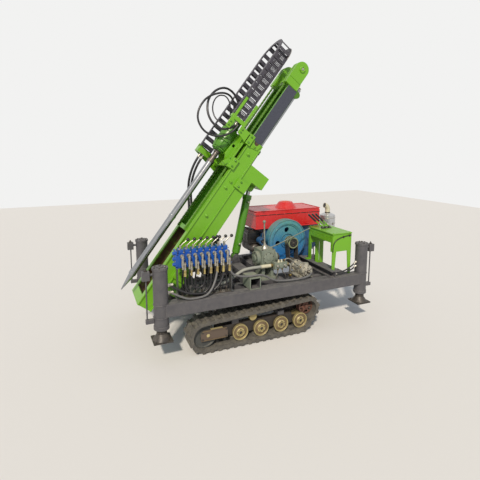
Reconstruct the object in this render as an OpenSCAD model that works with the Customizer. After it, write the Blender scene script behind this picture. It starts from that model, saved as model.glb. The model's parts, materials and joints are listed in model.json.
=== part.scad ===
// Tracked pile driver rig: a small crawler with a tilting mast, a chain-fed
// rotary head, four hydraulic legs and an open single-cylinder diesel engine.
// Millimetres. +X points to the engine end, -Y to the valve side and +Z up.
// The ground is z = 0, and the origin lies under the middle of the machine.

/* [Chassis] */
// Height and width of the side beams
beam_size = 100; // [80:1:120]
// Underside of the side beams above the ground
beam_z = 375; // [370:1:400]
// Outer face of each side beam from the centre line
beam_y = 530; // [520:1:560]
// Steel wall of the frame tubes
frame_wall = 6; // [4:1:8]
// Cross member ahead of the tracks' middle, its front face
front_cross_x = -640; // [-645:1:-600]
// Open square cross tube on top of the beams, its front face
deck_tube_x = -180; // [-200:1:-150]
// Rear channel on top of the beams, its front face
rear_channel_x = 632; // [620:1:650]

/* [Legs] */
// Front legs' axis
leg_front_x = -930; // [-960:1:-920]
// Rear legs' axis
leg_rear_x = 1000; // [980:1:1040]
// Legs' axis from the centre line
leg_y = 480; // [470:1:500]
// Outer diameter of a leg tube
leg_od = 114; // [100:1:130]
// Wall of a leg tube
leg_wall = 8; // [5:1:12]
// Lower end of a leg tube
leg_bottom = 276; // [250:1:300]
// Top of a leg's cap
leg_top = 768; // [740:1:800]
// Diameter of a leg's sliding rod
leg_rod_d = 70; // [60:1:80]
// Underside of a raised foot
foot_z = 180; // [160:1:200]
// Width of a foot's square pad
foot_w = 150; // [120:1:180]

/* [Tracks] */
// Width of a rubber belt
belt_w = 180; // [160:1:190]
// Outer edge of a belt from the centre line
belt_y = 520; // [515:1:540]
// Rubber between the outer and inner faces
belt_t = 26; // [20:1:30]
// Height of the ground lugs
lug_h = 14; // [8:1:18]
// Height of the inner drive lugs
drive_lug_h = 24; // [16:1:28]
// Length of a drive lug across the belt
drive_lug_w = 34; // [26:1:38]
// Lugs round one belt
lug_count = 40; // [36:1:44]
// Idler axle
idler_x = -585; // [-600:1:-560]
// Radius at the lug tips round the idler
idler_tip_r = 140; // [130:1:150]
// Sprocket axle
sprocket_x = 400; // [390:1:420]
// Sprocket axle's height
sprocket_z = 220; // [210:1:230]
// Radius at the lug tips round the sprocket
sprocket_tip_r = 112; // [105:1:116]
// First bottom roller's axle
roller_x = -265; // [-280:1:-250]
// Distance from one bottom roller to the next
roller_pitch = 197; // [185:1:205]
// Bottom rollers on one track
roller_count = 4; // [3:1:4]
// Radius of a bottom roller
roller_r = 70; // [60:1:72]
// Thickness of a roller's disc
disc_t = 24; // [16:1:26]
// Middle of the outer disc to the middle of the inner disc
disc_gap = 92; // [88:1:98]
// Carrier roller's axle
carrier_x = -147; // [-180:1:-100]
// Radius of the carrier roller
carrier_r = 34; // [32:1:36]

/* [Mast] */
// Rest angle of the mast from the ground
mast_angle = 53; // [50:1:56]
// Tilt pivot's place along X
pivot_x = -762; // [-770:1:-755]
// Tilt pivot's height
pivot_z = 473; // [470:1:480]
// Tilt pivot's distance up the mast from its foot
pivot_s = 270; // [260:1:280]
// Tilt pivot's distance behind the mast's front face
pivot_n = -185; // [-190:1:-180]
// Length of the outer mast
outer_len = 1738; // [1700:1:1760]
// Width of the outer mast
outer_w = 340; // [336:1:350]
// Depth of the outer mast, front to back
outer_d = 137; // [134:1:142]
// Plate of the outer mast
outer_plate = 10; // [8:1:12]
// Width of the outer mast's front flanges
front_flange = 45; // [40:1:48]
// How far the slide rails stand out of the mast's sides
rail_out = 10; // [8:1:12]
// Lower end of the inner mast at full reach
inner_s0 = 730; // [720:1:740]
// Upper end of the inner mast at full reach
inner_s1 = 2361; // [2340:1:2380]
// Air between the inner mast and the outer mast's walls
inner_air = 8; // [7:1:10]
// Plate of the inner mast
inner_plate = 8; // [6:1:10]
// Lower end of the support frame
support_s0 = 200; // [195:1:210]
// Lower side of the arm at the support frame's end
support_s1 = 1420; // [1400:1:1430]
// Depth of the support frame, front to back
support_d = 107; // [100:1:110]
// Length of the arm along the mast
arm_len = 125; // [120:1:140]
// Depth of the arm behind the mast's sliding face
arm_d = 233; // [220:1:240]
// Diameter of the tilt pins
pivot_pin_d = 40; // [36:1:42]
// Radius of the tilt lugs
pivot_lug_r = 55; // [50:1:58]
// Radius of the chassis bracket's eyes
pivot_eye_r = 40; // [36:1:42]

/* [Cylinders] */
// Derrick cylinder's lower pin along X
derrick_x = -120; // [-125:1:-110]
// Derrick cylinder's lower pin height
derrick_z = 630; // [620:1:640]
// Derrick cylinder's upper pin up the mast
derrick_s = 1392; // [1385:1:1396]
// Derrick cylinder's upper pin behind the mast's front face
derrick_n = -325; // [-330:1:-320]
// Derrick barrel's diameter
derrick_od = 76; // [70:1:82]
// Derrick rod's diameter
derrick_rod_d = 40; // [36:1:44]
// Diameter of the derrick cylinder's pins
derrick_pin_d = 30; // [26:1:32]
// Width of the derrick cylinder's eyes
derrick_eye_w = 44; // [40:1:48]
// Derrick rod's bare length at rest
derrick_bare = 34; // [30:1:40]
// Feed cylinder's axis behind the mast's front face
feed_n = -184; // [-186:1:-182]
// Feed barrel's diameter
feed_od = 56; // [50:1:58]
// Feed barrel's lower end
feed_s0 = 540; // [520:1:560]
// Feed rod's diameter
feed_rod_d = 28; // [24:1:32]

/* [Head] */
// Axis of the head and rod in front of the mast's face
head_n = 139; // [136:1:145]
// Lower end of the carriage plate
carriage_s0 = 1400; // [1390:1:1410]
// Upper end of the carriage plate
carriage_s1 = 1760; // [1750:1:1780]
// Underside of the carriage plate in front of the mast
carriage_n = 30; // [28:1:32]
// Plate of the carriage
carriage_t = 12; // [10:1:14]
// Lower face of the head's housing
head_s0 = 1489; // [1480:1:1500]
// Height of the head's housing
head_len = 216; // [200:1:220]
// Radius of the head's flanges
head_r = 92; // [85:1:94]
// Diameter of the adaptor under the head
adaptor_d = 50; // [44:1:56]
// Upper end of the rod
rod_s1 = 1361; // [1350:1:1370]
// Lower end of the rod's point
rod_s0 = 5; // [0:1:20]
// Diameter of the rod
rod_d = 60; // [54:1:64]
// Length of the rod's point
point_len = 165; // [140:1:180]
// Radius of the mast's chain sheaves
sheave_r = 52; // [48:1:54]
// Sheaves' axle up the mast
sheave_s = 2554; // [2540:1:2560]
// Sheaves' axle behind the mast's front face
sheave_n = -36; // [-38:1:-32]
// Air between a feed chain and the mast's front flange
chain_air = 9; // [8:1:11]
// Width of a feed chain
chain_w = 16; // [14:1:17]
// Thickness of a feed chain
chain_t = 14; // [12:1:15]

/* [Drag chain] */
// Front-to-back place of the drag chain's nearer edge
drag_n = 143; // [140:1:148]
// Width of the drag chain
drag_w = 127; // [120:1:132]
// Height of the drag chain's links
drag_h = 45; // [40:1:48]
// Pitch of the drag chain's links
drag_pitch = 70; // [60:1:80]
// Middle of the near run inside the mast's near face
drag_near_in = 8; // [6:1:10]
// Middle of the far run inside the mast's far face
drag_far_in = 30; // [28:1:34]
// Where the runs end and the bend starts
drag_bend_s = 2500; // [2480:1:2520]
// Lower end of the near run
drag_near_s = 1800; // [1790:1:1830]
// Lower end of the far run below the top of the outer mast
drag_far_drop = 288; // [270:1:300]

/* [Engine] */
// Crankshaft along X
crank_x = 460; // [450:1:470]
// Crankshaft's height
crank_z = 734; // [728:1:740]
// Radius of the flywheel
flywheel_r = 215; // [205:1:218]
// Thickness of the flywheel
flywheel_t = 78; // [70:1:84]
// Flywheel's outer face from the centre line
flywheel_y = 2; // [0:1:6]
// Radius of the crankshaft
crank_r = 24; // [20:1:26]
// Radius of the engine's belt pulley
pulley_r = 56; // [50:1:58]
// Length of the engine's belt pulley
pulley_len = 84; // [78:1:90]
// Pump shaft along X
pump_x = 476; // [470:1:482]
// Pump shaft's height
pump_z = 515; // [512:1:520]
// Length of the pump's body
pump_len = 230; // [220:1:240]
// Radius of the pump's pulley
pump_pulley_r = 50; // [44:1:52]
// Crankcase's rear side from the centre line
crankcase_y = 430; // [420:1:440]
// Top of the engine rails
engine_rail_z = 515; // [510:1:520]

/* [Gearbox and tank] */
// Gearbox housing's front face
gearbox_x = 20; // [15:1:30]
// Gearbox housing's length along X
gearbox_len = 140; // [130:1:150]
// Gearbox housing's near face from the centre line
gearbox_y = 300; // [290:1:310]
// Gearbox housing's width
gearbox_w = 160; // [150:1:165]
// Underside of the gearbox housing
gearbox_z = 596; // [590:1:600]
// Top of the gearbox housing
gearbox_top = 745; // [735:1:755]
// Oil tank's front face
tank_x = -560; // [-570:1:-550]
// Oil tank's length along X
tank_len = 360; // [340:1:370]
// Oil tank's inner face from the centre line
tank_y = 215; // [205:1:225]
// Oil tank's width
tank_w = 210; // [200:1:215]
// Top of the oil tank
tank_top = 790; // [770:1:800]

/* [Console] */
// Console's front edge
console_x = 680; // [675:1:690]
// Console's length along X
console_len = 215; // [205:1:220]
// Console's near side from the centre line
console_y = 455; // [450:1:460]
// Console's width
console_w = 400; // [380:1:405]
// Top of the console
console_top = 877; // [860:1:890]
// Width of the console's legs
console_leg = 45; // [36:1:50]
// Height of the console's side panels
console_skirt = 168; // [150:1:175]
// Sheet of the console
console_sheet = 8; // [6:1:9]

/* [Valves] */
// First valve section's middle
valve_x = -745; // [-750:1:-735]
// Distance between valve sections
valve_pitch = 54; // [52:1:56]
// Valve sections in the bank
valve_count = 8; // [6:1:8]
// Underside of the valve bank
valve_z = 722; // [715:1:730]
// Height of the valve bank
valve_h = 140; // [130:1:150]
// Near face of the valve bank from the centre line
valve_y = 420; // [415:1:430]
// Depth of the valve bank
valve_d = 110; // [100:1:115]

/* [Hidden] */

$fn = 48;
green = "yellowgreen";
dark_paint = "dimgray";
steel = "silver";
rubber = "#3c3c3c";
// Gap left where a curved face or a sliding face seats
seat_gap = 0.3;
// Radial play of a pin or shaft in its bore
pin_play = 0.06;
beam_top = beam_z + beam_size;
beam_in = beam_y - beam_size;
leg_r = leg_od / 2;
mast_top_n = -outer_d;
half_w = outer_w / 2;
chain_y = half_w - front_flange - chain_air - chain_w / 2;
derrick_up = mast_point(derrick_s, derrick_n);
derrick_len = norm(derrick_up - [derrick_x, derrick_z]);
derrick_angle = atan2(derrick_up[1] - derrick_z, derrick_up[0] - derrick_x);

// World x and z of a point given up the mast (s) and out of its front face (n)
function mast_point(s, n) = [
  pivot_x + (s - pivot_s) * cos(mast_angle) - (n - pivot_n) * sin(mast_angle),
  pivot_z + (s - pivot_s) * sin(mast_angle) + (n - pivot_n) * cos(mast_angle)
];

// Children are placed in mast axes: x runs up the mast, z out of its front face
module on_mast() {
  translate([pivot_x, 0, pivot_z]) rotate([0, -mast_angle, 0]) translate([-pivot_s, 0,
      -pivot_n]) children();
}

// A flat profile of (y, n) is drawn up the mast from s0 to s1
module up_mast(s0, s1) {
  translate([s0, 0, 0]) rotate([90, 0, 90]) linear_extrude(s1 - s0) children();
}

// A box given by two opposite corners
module block(low, high) {
  translate(low) cube(high - low);
}

module both_sides() {
  children();
  mirror([0, 1, 0]) children();
}

// A round bar along Y between two places
module bar_y(r, y0, y1) {
  translate([0, y1, 0]) rotate([90, 0, 0]) cylinder(r = r, h = y1 - y0);
}

// A flat profile of (x, z) is given thickness from y0 to y1
module plate_y(y0, y1) {
  translate([0, y1, 0]) rotate([90, 0, 0]) linear_extrude(y1 - y0) children();
}

// A round bar from one point to another
module bar(a, b, r) {
  d = b - a;
  translate(a) rotate([0, acos(d[2] / norm(d)), atan2(d[1], d[0])]) cylinder(r = r, h = norm(d));
}

// Each leg's axis: x, and the side it stands on
legs = [[leg_front_x, -1], [leg_front_x, 1], [leg_rear_x, -1], [leg_rear_x, 1]];

// Chassis

engine_rail_y = [90, 370];
rail_w = 50;
pivot_bracket_y = 78;
pivot_bracket_t = 18;
derrick_ear_t = 14;
derrick_ear_y = derrick_eye_w / 2 + 1;
middle_cross_x = 120;
rear_cross_x = 760;
// Rails inside the frame: the front pair carries the gearbox, the lower rear pair the pump
inner_rail_y = [-310, -150];
inner_rail_h = 50;
pump_rail_z = beam_top - 30;
channel_w = 48;
channel_h = 62;

module square_tube_y(x, z, y0, y1) {
  difference() {
    block([x, y0, z], [x + beam_size, y1, z + beam_size]);
    block([x + frame_wall, y0 - 1, z + frame_wall],
          [x + beam_size - frame_wall, y1 + 1, z + beam_size - frame_wall]);
  }
}

module pivot_bracket_profile() {
  difference() {
    union() {
      translate([pivot_x, pivot_z]) circle(pivot_eye_r);
      polygon([
        [pivot_x - 12, pivot_z - pivot_eye_r + 2], [front_cross_x, beam_z],
        [front_cross_x, beam_top + 40], [front_cross_x - 20, beam_top + 40],
            [pivot_x + 10, pivot_z + pivot_eye_r - 1]
      ]);
    }
    translate([pivot_x, pivot_z]) circle(pivot_pin_d / 2 + pin_play);
  }
}

module chassis_frame() color(dark_paint) {
  // side beams, saddle cut to the legs, with the cross members between them
  difference() {
    union() {
      both_sides() block([leg_front_x, beam_in, beam_z], [leg_rear_x, beam_y, beam_top]);
      for (x = [front_cross_x, middle_cross_x, rear_cross_x])
        block([x, -beam_in, beam_z], [x + beam_size, beam_in, beam_top]);
    }
    for (leg = legs)
      translate([leg[0], leg[1] * leg_y, beam_z - 1]) cylinder(r = leg_r + seat_gap, h = beam_size + 2);
  }
  // square cross tube with open ends, and the channel behind the pump
  square_tube_y(deck_tube_x, beam_top, -leg_y - 10, leg_y + 10);
  difference() {
    channel_end = engine_rail_y[0] - rail_w / 2;
    block([rear_channel_x, -beam_y + 10, beam_top], [rear_channel_x + channel_w, channel_end,
        beam_top + channel_h]);
    block([rear_channel_x - 1, -beam_y, beam_top + frame_wall],
          [rear_channel_x + channel_w - frame_wall, channel_end - frame_wall,
              beam_top + channel_h - frame_wall]);
  }
  // engine rails
  for (y = engine_rail_y)
    block([middle_cross_x, y - rail_w / 2, beam_top], [rear_cross_x + beam_size, y + rail_w / 2,
        engine_rail_z]);
  // rails inside the frame
  for (y = inner_rail_y) {
    block([front_cross_x + beam_size, y - rail_w / 2, beam_top - inner_rail_h],
        [middle_cross_x, y + rail_w / 2, beam_top]);
    block([middle_cross_x + beam_size, y - rail_w / 2, pump_rail_z - inner_rail_h],
          [rear_cross_x, y + rail_w / 2, pump_rail_z]);
  }
  // tilt bracket
  both_sides() plate_y(pivot_bracket_y, pivot_bracket_y + pivot_bracket_t) pivot_bracket_profile();
  block([front_cross_x, -pivot_bracket_y, beam_top], [front_cross_x + 14, pivot_bracket_y, beam_top + 40]);
  both_sides() block([front_cross_x, pivot_bracket_y, beam_top],
                     [front_cross_x + 14, pivot_bracket_y + pivot_bracket_t, beam_top + 40]);
  // ears of the derrick cylinder
  ear_top = derrick_pin_d / 2 + 16;
  both_sides() plate_y(derrick_ear_y, derrick_ear_y + derrick_ear_t) {
    translate([derrick_x, derrick_z]) circle(ear_top);
    polygon([
      [deck_tube_x, beam_top + beam_size], [deck_tube_x + beam_size, beam_top + beam_size],
      [derrick_x + ear_top, derrick_z], [derrick_x - ear_top, derrick_z]
    ]);
  }
  derrick_pin_y = derrick_ear_y + derrick_ear_t + 8;
  translate([derrick_x, 0, derrick_z]) bar_y(derrick_pin_d / 2, -derrick_pin_y, derrick_pin_y);
}

module leg_tubes() color(dark_paint)
  for (leg = legs) translate([leg[0], leg[1] * leg_y, 0]) {
    difference() {
      union() {
        translate([0, 0, leg_bottom]) cylinder(r = leg_r, h = leg_top - leg_bottom - 14);
        translate([0, 0, leg_top - 14]) cylinder(r = leg_r + 5, h = 14);
        translate([0, 0, leg_bottom]) cylinder(r = leg_r + 4, h = 26);
      }
      translate([0, 0, leg_bottom + 60]) cylinder(r = leg_r - leg_wall, h = leg_top - leg_bottom - 60 - 20);
      translate([0, 0, leg_bottom - 1]) cylinder(r = leg_rod_d / 2 + pin_play, h = 80);
      translate([0, 0, leg_top - 6]) cylinder(r1 = 8, r2 = 16, h = 7);
    }
  }

// A leg's rod with its foot, raised
module leg_rod(leg) color(steel) translate([leg[0], leg[1] * leg_y, 0]) {
  translate([0, 0, foot_z + 30]) cylinder(r = leg_rod_d / 2, h = leg_top - 60 - foot_z - 30);
  translate([0, 0, foot_z + 12]) cylinder(r1 = foot_w / 2 - 4, r2 = leg_rod_d / 2, h = 50);
  block([-foot_w / 2, -foot_w / 2, foot_z], [foot_w / 2, foot_w / 2, foot_z + 12]);
}
module leg_rod_front_near() leg_rod(legs[0]);
module leg_rod_front_far() leg_rod(legs[1]);
module leg_rod_rear_near() leg_rod(legs[2]);
module leg_rod_rear_far() leg_rod(legs[3]);

// A lock valve at each leg's outer end, with its pipe to the lower port
module lock_valves() color("slategray")
  for (leg = legs) translate([leg[0], leg[1] * leg_y, 0]) scale([leg[0] < 0 ? -1 : 1, 1, 1]) {
    near = leg_r + seat_gap;
    block([near + 24, -22, 676], [near + 80, 22, 746]);
    translate([near, 0, 716]) rotate([0, 90, 0]) cylinder(r = 10, h = 30);
    bar([near + 50, 0, 350], [near + 50, 0, 680], 6);
    block([near, -16, 332], [near + 62, 16, 362]);
  }

// Tracks

belt_mid = belt_y - belt_w / 2;
idler_z = idler_tip_r;
roller_z = lug_h + belt_t + roller_r + seat_gap;
last_roller_x = roller_x + (roller_count - 1) * roller_pitch;
// What the belt runs round, in its own order: x, z and radius to the belt's outer face
wheels = [
  [idler_x, idler_z, idler_tip_r - lug_h],
  [last_roller_x, roller_z, roller_z - lug_h],
  [sprocket_x, sprocket_z, sprocket_tip_r - lug_h]
];
wheel_count = len(wheels);

// Heading of the straight run that leaves a wheel, and that run's length
function run_span(i) = wheels[(i + 1) % wheel_count] - wheels[i];
function run_heading(i) = let (d = run_span(i)) atan2(d[1], d[0]) - asin(d[2] / norm([d[0], d[1]]));
function run_length(i) = let (d = run_span(i)) sqrt(d[0] * d[0] + d[1] * d[1] - d[2] * d[2]);
function turn(i) = (run_heading(i) - run_heading((i + wheel_count - 1) % wheel_count) + 720) % 360;
function arc_length(i) = wheels[i][2] * turn(i) * PI / 180;
function total(list, n) = n == 0 ? 0 : list[n - 1] + total(list, n - 1);
// Arc and run of each wheel in turn, and where each starts round the belt
pieces = [for (i = [0 : wheel_count - 1]) each [arc_length(i), run_length(i)]];
belt_len = total(pieces, len(pieces));
lug_pitch = belt_len / lug_count;

function rim_point(i, heading, inset) =
  [wheels[i][0], wheels[i][1]] + (wheels[i][2] - inset) * [sin(heading), -cos(heading)];

// A loop round the wheels at a distance in from the belt's outer face
module loop_profile(inset) {
  for (w = wheels) translate([w[0], w[1]]) circle(w[2] - inset);
  polygon([for (i = [0 : wheel_count - 1])
    each [rim_point(i, run_heading(i), inset), rim_point((i + 1) % wheel_count, run_heading(i), inset)]]);
}

// Place on the belt's outer face at a distance round it: x, z and the heading
function belt_place(d) =
  let (k = max([for (j = [0 : len(pieces) - 1]) if (total(pieces, j) <= d) j]),
       i = floor(k / 2), into = d - total(pieces, k),
       before = run_heading(i) - turn(i),
           h = k % 2 == 0 ? before + into / wheels[i][2] * 180 / PI : run_heading(i),
       rim = rim_point(i, h, 0), along = k % 2 == 0 ? 0 : into)
  [rim[0] + along * cos(h), rim[1] + along * sin(h), h];

// Children are drawn at each lug's place, with y pointing into the loop
module at_lugs() {
  for (i = [0 : lug_count - 1]) {
    p = belt_place((i + 0.5) * lug_pitch);
    translate([p[0], p[1]]) rotate(p[2]) children();
  }
}

module track_belt(side) color(rubber) {
  y0 = side < 0 ? -belt_y : belt_y - belt_w;
  drive_y = side * belt_mid - drive_lug_w / 2;
  plate_y(y0, y0 + belt_w) difference() {
    union() {
      loop_profile(0);
      at_lugs() polygon([[-18, 2], [-13, 2 - lug_h], [-8, -lug_h], [8, -lug_h], [13, 2 - lug_h], [18, 2]]);
    }
    loop_profile(belt_t);
  }
  plate_y(drive_y, drive_y + drive_lug_w)
    at_lugs() polygon([[-16, belt_t - 2], [-9, belt_t + drive_lug_h], [9, belt_t + drive_lug_h],
        [16, belt_t - 2]]);
}
module track_near() track_belt(-1);
module track_far() track_belt(1);

frame_y = disc_gap / 2 - disc_t / 2 - 6;
axle_r = 14;
idler_r = wheels[0][2] - belt_t - seat_gap;
sprocket_r = wheels[2][2] - belt_t - seat_gap;
// Height of the top run's inner face over a place along the track
top_heading = run_heading(2);
function top_run_z(x) =
  let (p = rim_point(2, top_heading, belt_t)) p[1] + (x - p[0]) * tan(top_heading);
carrier_z = top_run_z(carrier_x) + carrier_r / cos(top_heading) - seat_gap;
cross_tube_x = [-330, 110];
cross_tube_w = 60;
cross_tube_h = 38;
track_beam_z = [92, 184];

motor_plate_y = disc_gap / 2 + disc_t / 2 + 4;
motor_plate_t = 12;
motor_x0 = last_roller_x - roller_pitch + roller_r + 6;
motor_x1 = last_roller_x - roller_r - 6;
tensioner_y = disc_gap / 2 + disc_t / 2 + 9;
tensioner_t = 10;

// Side frames between the rollers' discs, with the idler's yoke and the sprocket's motor plate
module track_frames() color(dark_paint) both_sides() translate([0, belt_mid, 0]) {
  difference() {
    union() {
      block([idler_x + 110, -frame_y, track_beam_z[0]], [motor_x1, frame_y, track_beam_z[1]]);
      block([idler_x - 22, -frame_y, idler_z - 16], [idler_x + 112, frame_y, idler_z + 16]);
    }
    for (i = [0 : roller_count - 2])
      translate([roller_x + i * roller_pitch, 0, roller_z]) bar_y(axle_r + seat_gap, -frame_y - 1,
          frame_y + 1);
    translate([idler_x, 0, idler_z]) bar_y(axle_r + seat_gap, -frame_y - 1, frame_y + 1);
  }
  block([motor_x0, -motor_plate_y - motor_plate_t, track_beam_z[0] + 20],
      [motor_x1, -frame_y, track_beam_z[1]]);
  difference() {
    plate_y(-motor_plate_y - motor_plate_t, -motor_plate_y) {
      translate([sprocket_x, sprocket_z]) circle(58);
      polygon([
        [motor_x0, track_beam_z[0] + 20], [motor_x1, track_beam_z[0] + 20],
        [sprocket_x + 34, sprocket_z - 46], [sprocket_x - 24, sprocket_z + 52], [motor_x0, track_beam_z[1]]
      ]);
    }
    translate([sprocket_x, 0, sprocket_z]) bar_y(36, -motor_plate_y - motor_plate_t - 1, 0);
  }
  // tensioner's guard plate outside the idler, and the arm that holds it
  plate_y(tensioner_y, tensioner_y + tensioner_t) polygon([
    [idler_x - 36, idler_z - 34], [idler_x + 196, track_beam_z[0] + 16],
        [idler_x + 196, track_beam_z[1] - 14],
    [idler_x + 150, track_beam_z[1] + 12], [idler_x - 10, track_beam_z[1] + 12],
        [idler_x - 36, idler_z + 30]
  ]);
  block([idler_x + 50, tensioner_y, track_beam_z[1] + 4],
        [idler_x + 150, tensioner_y + tensioner_t + 6, track_beam_z[1] + 12]);
  block([idler_x + 112, 0, track_beam_z[0] + 20], [idler_x + 180, tensioner_y + 1, track_beam_z[1] - 20]);
  // arm that carries the last roller's axle
  difference() {
    block([motor_x1, -frame_y, track_beam_z[0]], [last_roller_x + 24, frame_y, track_beam_z[0] + 44]);
    translate([last_roller_x, 0, roller_z]) bar_y(axle_r + seat_gap, -frame_y - 1, frame_y + 1);
  }
}

// A pair of discs on one axle, dished like a rolled steel wheel
module disc_pair(r, hub) {
  bar_y(axle_r, -disc_gap / 2, disc_gap / 2);
  both_sides() translate([0, disc_gap / 2, 0]) rotate([-90, 0, 0]) difference() {
    union() {
      translate([0, 0, -disc_t / 2]) cylinder(r = r, h = disc_t);
      cylinder(r = hub, h = disc_t / 2 + 6);
    }
    translate([0, 0, disc_t / 2 - 8]) rotate_extrude() polygon([[hub + 6, 0], [r - 14, 0], [r - 8, 9],
        [hub + 2, 9]]);
    translate([0, 0, disc_t / 2]) cylinder(r = hub - 10, h = 7);
  }
}

module track_rollers() color("darkkhaki") both_sides() translate([0, belt_mid, 0]) {
  for (i = [0 : roller_count - 1]) translate([roller_x + i * roller_pitch, 0,
      roller_z]) disc_pair(roller_r, 24);
  translate([carrier_x, 0, carrier_z]) {
    both_sides() bar_y(carrier_r, drive_lug_w / 2 + 6, disc_gap / 2 + 8);
    bar_y(8, -disc_gap / 2, disc_gap / 2);
    block([-12, -9, track_beam_z[1] - carrier_z], [12, 9, -2]);
  }
}

module idler_wheels() color(dark_paint) both_sides() translate([idler_x, belt_mid,
    idler_z]) disc_pair(idler_r, 34);

lug_turn = lug_pitch / wheels[2][2] * 180 / PI;
sprocket_teeth = floor(360 / lug_turn);
first_lug_heading = belt_place((ceil(total(pieces, 4) / lug_pitch - 0.5) + 0.5) * lug_pitch)[2];
flange_y = drive_lug_w / 2 + 3;
module drive_sprockets() color("rosybrown") both_sides() translate([sprocket_x, belt_mid, sprocket_z]) {
  core_r = sprocket_r - drive_lug_h;
  rotate([90, 0, 0]) translate([0, 0, -10]) linear_extrude(20) {
    circle(core_r - 3);
    // each tooth stands between two of the belt's drive lugs
    for (i = [0 : sprocket_teeth - 1]) rotate(first_lug_heading + (i + 0.5) * lug_turn - 90)
      polygon([[core_r - 6, -6], [core_r + 12, -3], [core_r + 12, 3], [core_r - 6, 6]]);
  }
  // rims that the belt lies on, the hub and the motor
  both_sides() difference() {
    bar_y(sprocket_r, flange_y, flange_y + 8);
    bar_y(sprocket_r - 12, flange_y - 1, flange_y + 9);
  }
  both_sides() bar_y(core_r - 12, 8, flange_y + 6);
  both_sides() for (i = [0 : 5]) rotate([0, i * 60, 0]) block([20, flange_y + 1, -7],
      [sprocket_r - 8, flange_y + 7, 7]);
  bar_y(16, flange_y + 6, flange_y + 20);
  bar_y(35, -motor_plate_y - 70, -flange_y);
}

// Cross tubes on the track frames, the posts up to the chassis and its bearing plates
module undercarriage() color(dark_paint) {
  z0 = track_beam_z[1];
  for (x = cross_tube_x) {
    block([x, -belt_mid - frame_y, z0], [x + cross_tube_w, belt_mid + frame_y, z0 + cross_tube_h]);
    both_sides() block([x, 262, z0 + cross_tube_h], [x + cross_tube_w, 312, beam_z - 12]);
  }
  both_sides() block([cross_tube_x[0] - 10, 256, beam_z - 12],
      [cross_tube_x[1] + cross_tube_w + 10, beam_in + 20, beam_z]);
}

// Mast support frame: two rails, tilt lugs, clamps over the mast's rear rails and the end arm

slide_n = mast_top_n - seat_gap;
support_n = slide_n - support_d;
support_rail_w = 68;
rail_inner_y = half_w - support_rail_w;
clamp_s = [340, 1290];
clamp_len = 90;
clamp_t = 14;
back_plate_s = 240;

module support_section() {
  both_sides_2d() {
    translate([half_w - 10, support_n]) square([10, support_d]);
    translate([rail_inner_y, slide_n - 10]) square([half_w - rail_inner_y, 10]);
    translate([rail_inner_y, support_n]) square([half_w - rail_inner_y, 10]);
  }
}

module both_sides_2d() {
  children();
  mirror([1, 0]) children();
}

// A plate in the mast's side plane: a profile of (s, n) from y0 to y1
module mast_plate(y0, y1) plate_y(y0, y1) children();

module mast_support() color(green) on_mast() {
  up_mast(support_s0, support_s1) support_section();
  up_mast(support_s0 + back_plate_s, support_s1) translate([-half_w, support_n]) square([outer_w, 8]);
  // tilt lugs, with the pins that turn in the chassis bracket
  both_sides() {
    mast_plate(half_w - 20, half_w) intersection() {
      translate([pivot_s, pivot_n]) circle(pivot_lug_r);
      translate([0, support_n - 80]) square([pivot_s + 200, support_d + 80]);
    }
    translate([pivot_s, 0, pivot_n]) bar_y(pivot_pin_d / 2, pivot_bracket_y - 4, half_w + 6);
  }
  // clamps over the rails
  clamp_y = half_w + rail_out + 1;
  for (s = clamp_s) both_sides() {
    block([s, half_w, support_n + 10], [s + clamp_len, clamp_y + clamp_t, slide_n - 1]);
    block([s, clamp_y, slide_n - 1], [s + clamp_len, clamp_y + clamp_t, slide_n + outer_plate + 1]);
    block([s, half_w + 1, slide_n + outer_plate + 1], [s + clamp_len, clamp_y + clamp_t,
        slide_n + outer_plate + 13]);
  }
  // end arm with its ears
  arm_s1 = support_s1 + arm_len;
  both_sides() block([support_s1, half_w - 12, slide_n - arm_d], [arm_s1, half_w, slide_n]);
  difference() {
    union() {
      for (s = [support_s1, arm_s1 - 10])
        block([s, -half_w, slide_n - arm_d], [s + 10, half_w, feed_n - feed_od / 2 - 14]);
      block([support_s1, -half_w, slide_n - arm_d], [arm_s1, half_w, slide_n - arm_d + 10]);
    }
    // room for the cylinder's eye between the ears
    block([support_s1 - 1, -derrick_ear_y, slide_n - arm_d - 1], [support_s1 + 40, derrick_ear_y, feed_n]);
  }
  ear_r = derrick_pin_d / 2 + 14;
  both_sides() mast_plate(derrick_ear_y, derrick_ear_y + derrick_ear_t) {
    translate([derrick_s, derrick_n]) circle(ear_r);
    polygon([
      [derrick_s, derrick_n - ear_r], [support_s1 + 60, derrick_n - ear_r],
      [support_s1 + 60, derrick_n + 60], [derrick_s, derrick_n + ear_r]
    ]);
  }
  // pin heads outside the ears
  both_sides() translate([derrick_s, 0, derrick_n])
    bar_y(derrick_pin_d / 2 + 4, derrick_ear_y + derrick_ear_t, derrick_ear_y + derrick_ear_t + 8);
}

// Outer mast

web_in = half_w - outer_plate - 2;
pad_len = 88;
inner_half = web_in - inner_air;
inner_front = -outer_plate - 4;
inner_back = mast_top_n + outer_plate + 5;

module outer_section() {
  both_sides_2d() {
    translate([web_in, mast_top_n]) square([half_w - web_in, outer_d]);
    translate([half_w - front_flange, -outer_plate]) square([front_flange + rail_out, outer_plate]);
    translate([web_in, mast_top_n]) square([half_w + rail_out - web_in, outer_plate]);
  }
  translate([-half_w, mast_top_n]) square([outer_w, outer_plate]);
}

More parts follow.
